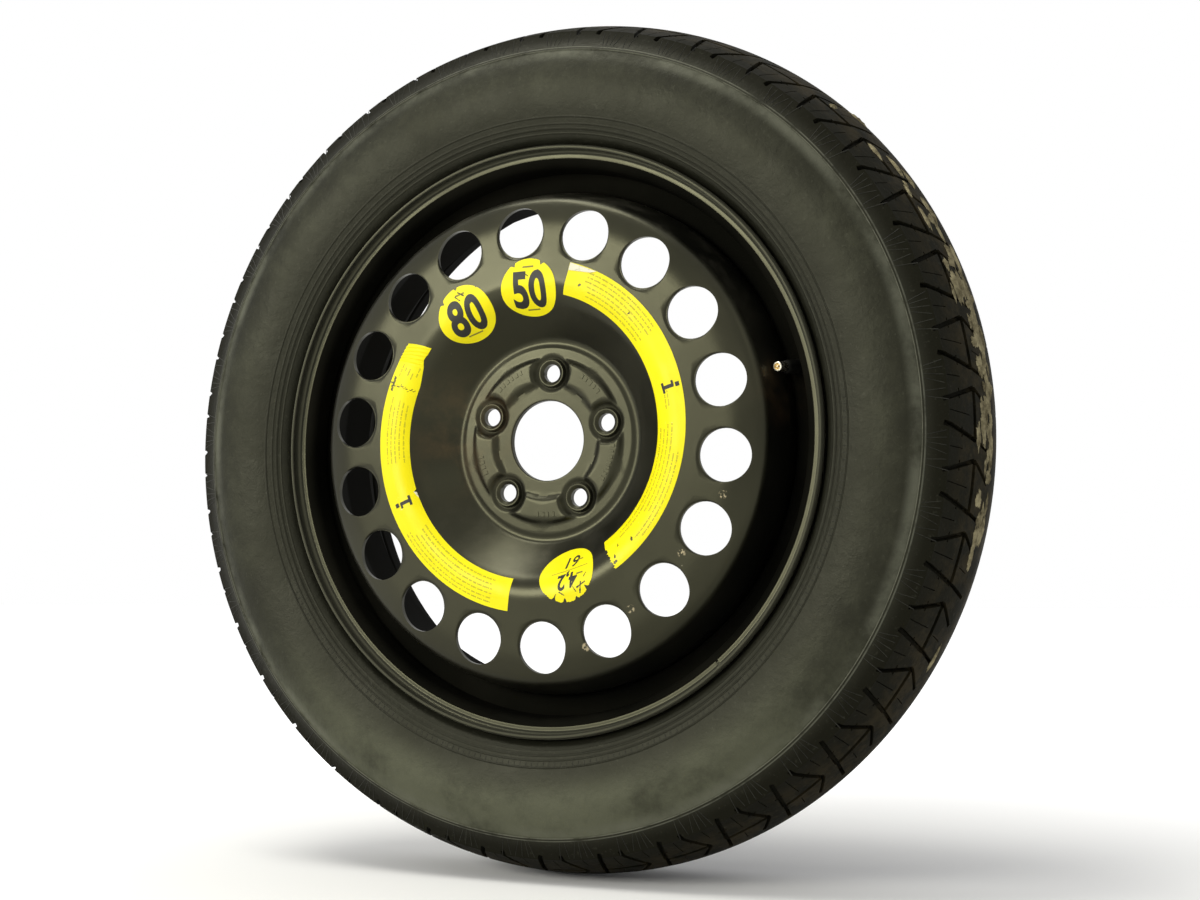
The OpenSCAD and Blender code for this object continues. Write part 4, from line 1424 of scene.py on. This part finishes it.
for name, (place, strokes) in SCRATCHES.items():
    sheet = Sheet()
    for x_a, y_a, x_b, y_b, width in strokes:
        share = np.linspace(0, 1, 8)
        long = math.hypot(x_b - x_a, y_b - y_a)
        half = width / 2 * (0.35 + np.abs(wave(share * 3, x_a))) * np.array([[-1.0], [1.0]])
        right = x_a + (x_b - x_a) * share + half * (y_b - y_a) / long
        up = y_a + (y_b - y_a) * share - half * (x_b - x_a) / long
        x, z = in_round(*place, right, up)
        sheet.grid(on_disc(x, z, PRINT_LIFT + 0.08))
    black_print.append(sheet.build(name, 0))
print("marks and scratches", [*MARKS, *SCRATCHES])

# %% [markdown]
# ## Finishes
# Nothing on a used wheel has one flat colour. Each finish below starts from noise in the
# object's own coordinates, in metres, so that its grain has a real size and stays put when
# the wheel is seen from another side. A small helper keeps the node wiring readable.

# %% Finish helper


class Finish:
    """A material that is wired up step by step from the object's own coordinates."""

    def __init__(self, name):
        self.material, self.tree, self.shader = node_material(name)
        self.place = self.new("ShaderNodeTexCoord").outputs["Object"]

    def new(self, kind):
        """A new node of this kind."""
        return self.tree.nodes.new(kind)

    def link(self, source, target):
        self.tree.links.new(source, target)

    def put(self, socket, value):
        """Links an output into a socket, or sets a plain value on it."""
        if hasattr(value, "links"):
            self.link(value, socket)
        else:
            socket.default_value = value

    def noise(self, scale, detail=3.0, roughness=0.55):
        """Clouds between 0 and 1, finer with a larger scale."""
        node = self.new("ShaderNodeTexNoise")
        node.inputs["Scale"].default_value = scale
        node.inputs["Detail"].default_value = detail
        node.inputs["Roughness"].default_value = roughness
        self.link(self.place, node.inputs["Vector"])
        return node.outputs["Fac"]

    def math(self, operation, a, b=0.0):
        """One step of arithmetic on outputs or plain values."""
        node = self.new("ShaderNodeMath")
        node.operation = operation
        self.put(node.inputs[0], a)
        self.put(node.inputs[1], b)
        return node.outputs[0]

    def times(self, a, b):
        """The product of two outputs or plain values."""
        return self.math("MULTIPLY", a, b)

    def spread(self, value, low, high, to_low=0.0, to_high=1.0):
        """The value remapped from low..high, eased and held within the new range."""
        node = self.new("ShaderNodeMapRange")
        node.interpolation_type = "SMOOTHSTEP"
        self.link(value, node.inputs["Value"])
        for name, number in (("From Min", low), ("From Max", high),
                             ("To Min", to_low), ("To Max", to_high)):
            node.inputs[name].default_value = number
        return node.outputs["Result"]

    def mix(self, share, a, b):
        """Colour a where share is 0 and colour b where it is 1."""
        node = self.new("ShaderNodeMix")
        node.data_type = "RGBA"
        self.put(node.inputs["Factor"], share)
        for socket, colour in ((node.inputs["A"], a), (node.inputs["B"], b)):
            self.put(socket, colour if hasattr(colour, "links") else (*colour, 1))
        return node.outputs["Result"]

    def tint(self, colour, towards, share, most):
        """The colour moved towards another one, by most where share is 1."""
        return self.mix(self.times(share, most), colour, towards)

    def axes(self):
        """The outputs X, Y and Z of the place."""
        node = self.new("ShaderNodeSeparateXYZ")
        self.link(self.place, node.inputs[0])
        return node.outputs

    def radius(self):
        """Distance from the axle, in metres."""
        x, _, z = self.axes()
        square = self.math("ADD", self.times(x, x), self.times(z, z))
        return self.math("SQRT", square)

    def near(self, centre_mm, reach_mm):
        """1 at a point of the wheel's own coordinates, falling to 0 at reach."""
        node = self.new("ShaderNodeVectorMath")
        node.operation = "DISTANCE"
        self.link(self.place, node.inputs[0])
        node.inputs[1].default_value = [v * MM for v in centre_mm]
        return self.spread(node.outputs["Value"], reach_mm * MM, 0.0)

    def facing_up(self, low=0.2, high=0.9):
        """1 where the surface looks up, where dust settles."""
        node = self.new("ShaderNodeNewGeometry")
        split = self.new("ShaderNodeSeparateXYZ")
        self.link(node.outputs["Normal"], split.inputs[0])
        return self.spread(split.outputs["Z"], low, high)

    def bump(self, heights):
        """Adds bumps in turn; each is (height, depth in mm)."""
        last = None
        for height, depth in heights:
            node = self.new("ShaderNodeBump")
            node.inputs["Distance"].default_value = depth * MM
            self.link(height, node.inputs["Height"])
            if last is not None:
                self.link(last, node.inputs["Normal"])
            last = node.outputs["Normal"]
        self.link(last, self.shader.inputs["Normal"])

    def on(self, *objects):
        """Puts the material on the objects."""
        for o in objects:
            o.data.materials.clear()
            o.data.materials.append(self.material)
        print(self.material.name, "on", [o.name for o in objects])


# %% [markdown]
# ## Black dip paint
# The steel is dipped in thin black paint. It is satin, slightly uneven from the dip, a little
# brown where the coat is thin over an old stain, and dusty on the faces that look up. The
# flange's curl is a lighter grey, partly dust and partly a painted sheen. The deep channel beside
# the rim and the back of the disc get a second, dull paint of the same colour that mirrors almost
# nothing, as painted shade, because light hardly reaches them and they look plain black.

# %% Colours of the paint
THIN_COAT = (0.006, 0.0057, 0.0042)
THICK_COAT = (0.002, 0.002, 0.0016)
STAIN = (0.050, 0.030, 0.014)
PAINT_DUST = (0.09, 0.085, 0.065)
FLANGE_DUST_AND_SHEEN = (0.034, 0.034, 0.025)
CHIP = (0.30, 0.25, 0.16)
FINE_CHIP = (0.12, 0.11, 0.08)
PAINT_TINT = (1, 0.98, 0.62, 1)
# Stains: middle and reach in mm.
STAIN_SPOTS = (((-75, -62, 10), 75), ((198, -50, 30), 36))
# Where the coat is chipped beside the vents at the lower right, in mm.
CHIP_SPOTS = ((167.5, -82, -49.7), (133, -82, -95), (89.3, -82, -138.6), (49.9, -82, -168.9))


# %% Paint
def make_paint(name, rough_low, rough_high, mirror, dusty):
    """The dip paint: how rough its clouds are, how much it mirrors and how dusty it is."""
    paint = Finish(name)
    cloud = paint.noise(9, 4)
    fine = paint.noise(700, 2)
    grime = paint.noise(38, 5, 0.7)
    colour = paint.mix(paint.spread(cloud, 0.35, 0.7), THICK_COAT, THIN_COAT)
    stain = paint.math("MAXIMUM", *[paint.near(middle, reach) for middle, reach in STAIN_SPOTS])
    stain = paint.times(stain, paint.spread(grime, 0.35, 0.75))
    colour = paint.tint(colour, STAIN, stain, 0.8)
    dust = paint.times(paint.facing_up(), paint.spread(grime, 0.42, 0.8))
    colour = paint.tint(colour, PAINT_DUST, dust, dusty)
    along = paint.axes()["Y"]
    # The flange's curl turns lighter grey: partly dust, partly a painted sheen that widens its
    # highlight.
    flange = paint.times(paint.spread(paint.radius(), 0.2352, 0.2375),
                         paint.spread(along, -0.050, -0.056))
    colour = paint.tint(colour, FLANGE_DUST_AND_SHEEN, flange, 0.85)
    for spot in CHIP_SPOTS:
        chip = paint.times(paint.spread(paint.near(spot, 6), 0.25, 0.6),
                           paint.spread(paint.noise(420, 3), 0.5, 0.56))
        colour = paint.mix(chip, colour, CHIP)
    colour = paint.mix(paint.spread(paint.noise(260, 1), 0.83, 0.86), colour, FINE_CHIP)
    paint.link(colour, paint.shader.inputs["Base Color"])
    rough = paint.spread(cloud, 0.3, 0.75, rough_low, rough_high)
    paint.link(rough, paint.shader.inputs["Roughness"])
    paint.shader.inputs["Specular IOR Level"].default_value = mirror
    paint.shader.inputs["Specular Tint"].default_value = PAINT_TINT
    paint.bump([(fine, 0.02), (paint.noise(120, 2), 0.06)])
    return paint


black_paint = make_paint("black_paint", rough_low=0.28, rough_high=0.42, mirror=0.36, dusty=0.35)
# The same colours, dull and barely mirroring: painted shade for faces that light hardly reaches.
shade_paint = make_paint("shade_paint", rough_low=0.7, rough_high=0.85, mirror=0.03, dusty=0.03)
black_paint.on(disc_pressing, rim_shell, hub_bars)
shade_paint.on(nodes["disc_welds"])

# %% Faces that light hardly reaches
# The channel lies outside this radius and between these places along the axle, in metres.
CHANNEL_R = 0.19
CHANNEL_Y = (-0.0605, 0.056)
# Bounds of the normal's part away from the axle and of its part along the axle.
LOOKS_INWARDS = -0.12
LOOKS_BACK = 0.15


def shade_hidden_faces(shell):
    """Gives the dull paint, as painted shade, to faces of the channel that look at the axle, and to
    the back.
    """
    shell.data.materials.append(shade_paint.material)
    for face in shell.data.polygons:
        x, y, z = face.center
        n = face.normal
        radius = math.hypot(x, z)
        in_channel = radius > CHANNEL_R and CHANNEL_Y[0] < y < CHANNEL_Y[1]
        to_axle = n.x * x + n.z * z < LOOKS_INWARDS * radius
        behind = shell is disc_pressing and n.y > LOOKS_BACK
        if behind or (in_channel and to_axle):
            face.material_index = 1
    print(shell.name, sum(f.material_index for f in shell.data.polygons), "faces in the dull coat")


shade_hidden_faces(disc_pressing)
shade_hidden_faces(rim_shell)

# %% [markdown]
# ## Sticker vinyl and print
# The yellow is strong and even, with small scuffs and a little dirt; the print is worn black.

# %% Vinyl, print and paper
VINYL_DARK = (0.69, 0.60, 0.003)
VINYL_LIGHT = (0.75, 0.66, 0.004)
SCUFF = (0.86, 0.82, 0.42)
VINYL_DIRT = (0.34, 0.28, 0.03)


def make_vinyl():
    """Yellow vinyl with pale scuffs and brown dirt."""
    vinyl = Finish("yellow_sticker")
    colour = vinyl.mix(vinyl.spread(vinyl.noise(14, 3), 0.3, 0.7), VINYL_DARK, VINYL_LIGHT)
    scuff = vinyl.spread(vinyl.noise(160, 4, 0.7), 0.66, 0.74)
    scuff = vinyl.times(scuff, vinyl.spread(vinyl.noise(22, 2), 0.55, 0.68))
    colour = vinyl.mix(scuff, colour, SCUFF)
    dirt = vinyl.spread(vinyl.noise(90, 5, 0.75), 0.67, 0.75, 0, 0.55)
    colour = vinyl.mix(dirt, colour, VINYL_DIRT)
    vinyl.link(colour, vinyl.shader.inputs["Base Color"])
    rough = vinyl.spread(vinyl.noise(30, 3), 0.3, 0.7, 0.30, 0.48)
    vinyl.link(rough, vinyl.shader.inputs["Roughness"])
    vinyl.shader.inputs["Specular IOR Level"].default_value = 0.15
    vinyl.bump([(vinyl.noise(210, 2), 0.04)])
    return vinyl


def make_print(name, dark, light, wear):
    """Dark ink that is rubbed off to a light ground, more of it with more wear."""
    ink = Finish(name)
    worn = ink.spread(ink.noise(240, 4, 0.7), 0.68 - wear, 0.74 - wear)
    ink.link(ink.mix(worn, dark, light), ink.shader.inputs["Base Color"])
    ink.shader.inputs["Roughness"].default_value = 0.5
    ink.shader.inputs["Specular IOR Level"].default_value = 0.3
    ink.bump([(ink.noise(300, 2), 0.01)])
    return ink


yellow_vinyl = make_vinyl()
yellow_vinyl.on(sticker_80, sticker_50, sticker_pressure, sticker_left, sticker_right)
black_ink = make_print("black_ink", (0.010, 0.010, 0.006), (0.60, 0.53, 0.02), 0.0)
black_ink.on(*black_print)
faint_ink = make_print("faint_ink", (0.17, 0.155, 0.012), (0.55, 0.50, 0.02), 0.08)
faint_ink.on(*faint_print, *round_marks)
bare_paper = make_print("bare_paper", (0.60, 0.58, 0.44), (0.42, 0.40, 0.28), 0.1)
bare_paper.on(paper_fold, paper_flap)

# %% [markdown]
# ## Rubber
# Old tyre rubber is a dark olive grey, never pure black. Dust gives it soft light clouds, the
# shoulders stay darker, and brown dirt sits between the grooves. A pale band and two thin pale
# lines just inside the shoulder's ring are painted highlights, and the wall's colour is lighter
# towards the bottom. Each of these is one tint over the last, held to its own band of the
# distance from the axle.

# %% Colours of the rubber
RUBBER_DARK = (0.004, 0.004, 0.0024)
RUBBER_LIGHT = (0.014, 0.014, 0.0085)
WALL_DUST = (0.033, 0.034, 0.022)
DARK_PATCH = (0.0050, 0.0050, 0.0028)
DARK_GRAIN = (0.0050, 0.0048, 0.0028)
RIM_SIDE = (0.007, 0.007, 0.0045)
LOWER_WALL_PALE = (0.115, 0.120, 0.080)
WALL_HIGHLIGHT_BAND = (0.085, 0.087, 0.065)
SHOULDER = (0.0040, 0.0037, 0.0020)
RING_EDGE_HIGHLIGHT = (0.11, 0.112, 0.085)
SPECK = (0.06, 0.06, 0.045)
TREAD_BROWN = (0.030, 0.023, 0.011)
RUBBER_TINT = (1, 1, 0.76, 1)
# Radii in metres of the thin pale lines beside the wall's ring, which are painted highlights.
RING_HIGHLIGHT_RADII = (0.3232, 0.3254)


# %% Tyre rubber
def make_rubber():
    """The tyre's finish: clouds, dust, patches, a lighter lower wall, painted highlights and dirt
    by radius.
    """
    rubber = Finish("tyre_rubber")
    cloud = rubber.noise(14, 6, 0.68)
    speck = rubber.noise(330, 3)
    radius = rubber.radius()
    colour = rubber.mix(rubber.spread(cloud, 0.3, 0.72), RUBBER_DARK, RUBBER_LIGHT)
    bulge = rubber.times(rubber.spread(radius, 0.268, 0.296), rubber.spread(radius, 0.3240, 0.3215))
    worn = rubber.times(bulge, rubber.spread(rubber.noise(24, 6, 0.7), 0.33, 0.72))
    colour = rubber.tint(colour, WALL_DUST, worn, 0.6)
    patches = rubber.spread(rubber.noise(8, 6, 0.75), 0.44, 0.60)
    colour = rubber.tint(colour, DARK_PATCH, patches, 0.55)
    grain = rubber.spread(rubber.noise(110, 6, 0.8), 0.46, 0.62)
    colour = rubber.tint(colour, DARK_GRAIN, grain, 0.45)
    colour = rubber.tint(colour, RIM_SIDE, rubber.spread(radius, 0.296, 0.262), 0.7)
    # The wall's colour turns lighter towards the bottom, on its bulge and in clouds.
    low = rubber.times(rubber.spread(rubber.axes()["Z"], -0.13, -0.30), bulge)
    low = rubber.times(low, rubber.spread(cloud, 0.2, 0.6))
    colour = rubber.tint(colour, LOWER_WALL_PALE, low, 0.5)
    # A pale clouded band just inside the shoulder's ring: a painted highlight.
    wall_highlight = rubber.times(rubber.spread(radius, 0.3120, 0.3205),
                          rubber.spread(radius, 0.3235, 0.3222))
    wall_highlight = rubber.times(wall_highlight, rubber.spread(rubber.noise(15, 5, 0.7), 0.35, 0.65))
    colour = rubber.tint(colour, WALL_HIGHLIGHT_BAND, wall_highlight, 0.75)
    colour = rubber.tint(colour, SHOULDER, rubber.spread(radius, 0.3255, 0.3290), 0.88)
    # Thin pale lines along the ring's edges: painted highlights.
    for ring in RING_HIGHLIGHT_RADII:
        gap = rubber.math("ABSOLUTE", rubber.math("SUBTRACT", radius, ring))
        line = rubber.times(rubber.spread(gap, 0.0007, 0.0002),
                            rubber.spread(rubber.noise(40, 4, 0.7), 0.3, 0.55))
        colour = rubber.tint(colour, RING_EDGE_HIGHLIGHT, line, 0.7)
    colour = rubber.mix(rubber.spread(speck, 0.62, 0.72, 0, 0.2), colour, SPECK)
    brown = rubber.times(rubber.spread(radius, 0.340, 0.354),
                         rubber.spread(rubber.noise(45, 5, 0.7), 0.4, 0.62))
    colour = rubber.tint(colour, TREAD_BROWN, brown, 0.6)
    rubber.link(colour, rubber.shader.inputs["Base Color"])
    satin = rubber.spread(cloud, 0.2, 0.8, 0.42, 0.58)
    rubber.link(rubber.math("ADD", satin, rubber.spread(radius, 0.3255, 0.345, 0, 0.25)),
                rubber.shader.inputs["Roughness"])
    rubber.link(rubber.spread(radius, 0.3255, 0.335, 0.18, 0.09),
                rubber.shader.inputs["Specular IOR Level"])
    rubber.shader.inputs["Specular Tint"].default_value = RUBBER_TINT
    rubber.bump([(rubber.noise(900, 2), 0.05), (rubber.noise(60, 3), 0.12),
                 (rubber.spread(rubber.noise(70, 4, 0.7), 0.3, 0.7), 0.25)])
    return rubber


tyre_rubber = make_rubber()
tyre_rubber.on(tyre_wall_front, tyre_wall_rear, tyre_tread)

# %% [markdown]
# ## Small finishes
# The ribs, the mud and the pieces of the valve are small, so two close colours in soft clouds
# are enough for each. One function makes them all, which keeps their values easy to compare.

# %% Small finishes
def make_plain(name, low, high, scale, rough, metallic=0.0, mirror=0.5, grain=0.05):
    """A finish of two close colours in clouds, with a fine grain."""
    made = Finish(name)
    cloud = made.noise(scale, 4, 0.65)
    made.link(made.mix(made.spread(cloud, 0.3, 0.7), low, high), made.shader.inputs["Base Color"])
    made.link(made.spread(cloud, 0.2, 0.8, *rough), made.shader.inputs["Roughness"])
    made.shader.inputs["Metallic"].default_value = metallic
    made.shader.inputs["Specular IOR Level"].default_value = mirror
    made.bump([(made.noise(scale * 12, 3), grain)])
    return made


# %% Ribs and mud
rib_rubber = make_plain("rib_rubber", (0.006, 0.006, 0.004), (0.024, 0.024, 0.017), 60, (0.45, 0.6),
                        mirror=0.25)
rib_rubber.on(*tyre_ribs)
mud = make_plain("mud", (0.09, 0.075, 0.042), (0.34, 0.30, 0.18), 90, (0.85, 0.95), mirror=0.1,
                 grain=0.3)
mud.on(dried_mud)

# %% Pieces of the valve
valve_rubber = make_plain("valve_rubber", (0.0022, 0.0022, 0.0018), (0.006, 0.006, 0.0045), 150,
                          (0.5, 0.65), mirror=0.08, grain=0.02)
valve_rubber.on(nodes["valve_body"], nodes["core_cup_seal"])
nickel = make_plain("nickel", (0.72, 0.66, 0.52), (0.86, 0.80, 0.66), 500, (0.18, 0.34), 1.0,
                    grain=0.01)
nickel.on(nodes["valve_stem"], nodes["core_pin"])
brass = make_plain("brass", (0.62, 0.42, 0.16), (0.78, 0.58, 0.26), 500, (0.22, 0.36), 1.0,
                   grain=0.01)
brass.on(nodes["core_housing"], nodes["core_cup"])
red_seal = make_plain("red_seal", (0.40, 0.05, 0.03), (0.52, 0.08, 0.04), 400, (0.4, 0.55),
                      grain=0.01)
red_seal.on(nodes["core_seal"])
spring_steel = make_plain("spring_steel", (0.50, 0.50, 0.48), (0.64, 0.64, 0.62), 600, (0.2, 0.35),
                          1.0, grain=0.01)
spring_steel.on(nodes["core_spring"])

# %% [markdown]
# ## The valve's spring
# The pin presses the spring by 1.5 mm. The spring's inner end rests in the core, so it keeps its
# place there. Here its points are sorted along the valve's axis and it gets a mesh of its own.

# %% Spring with a mesh of its own
VALVE_AXIS = Vector((0.267795, 0.961262, 0.065281))


def shorten_spring(spring):
    """Sorts the spring's points along the valve's axis and gives it a mesh of its own."""
    places = [spring.matrix_world @ v.co for v in spring.data.vertices]
    places.sort(key=VALVE_AXIS.dot)
    tuple(places[-1])
    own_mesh(spring)


shorten_spring(nodes["core_spring"])
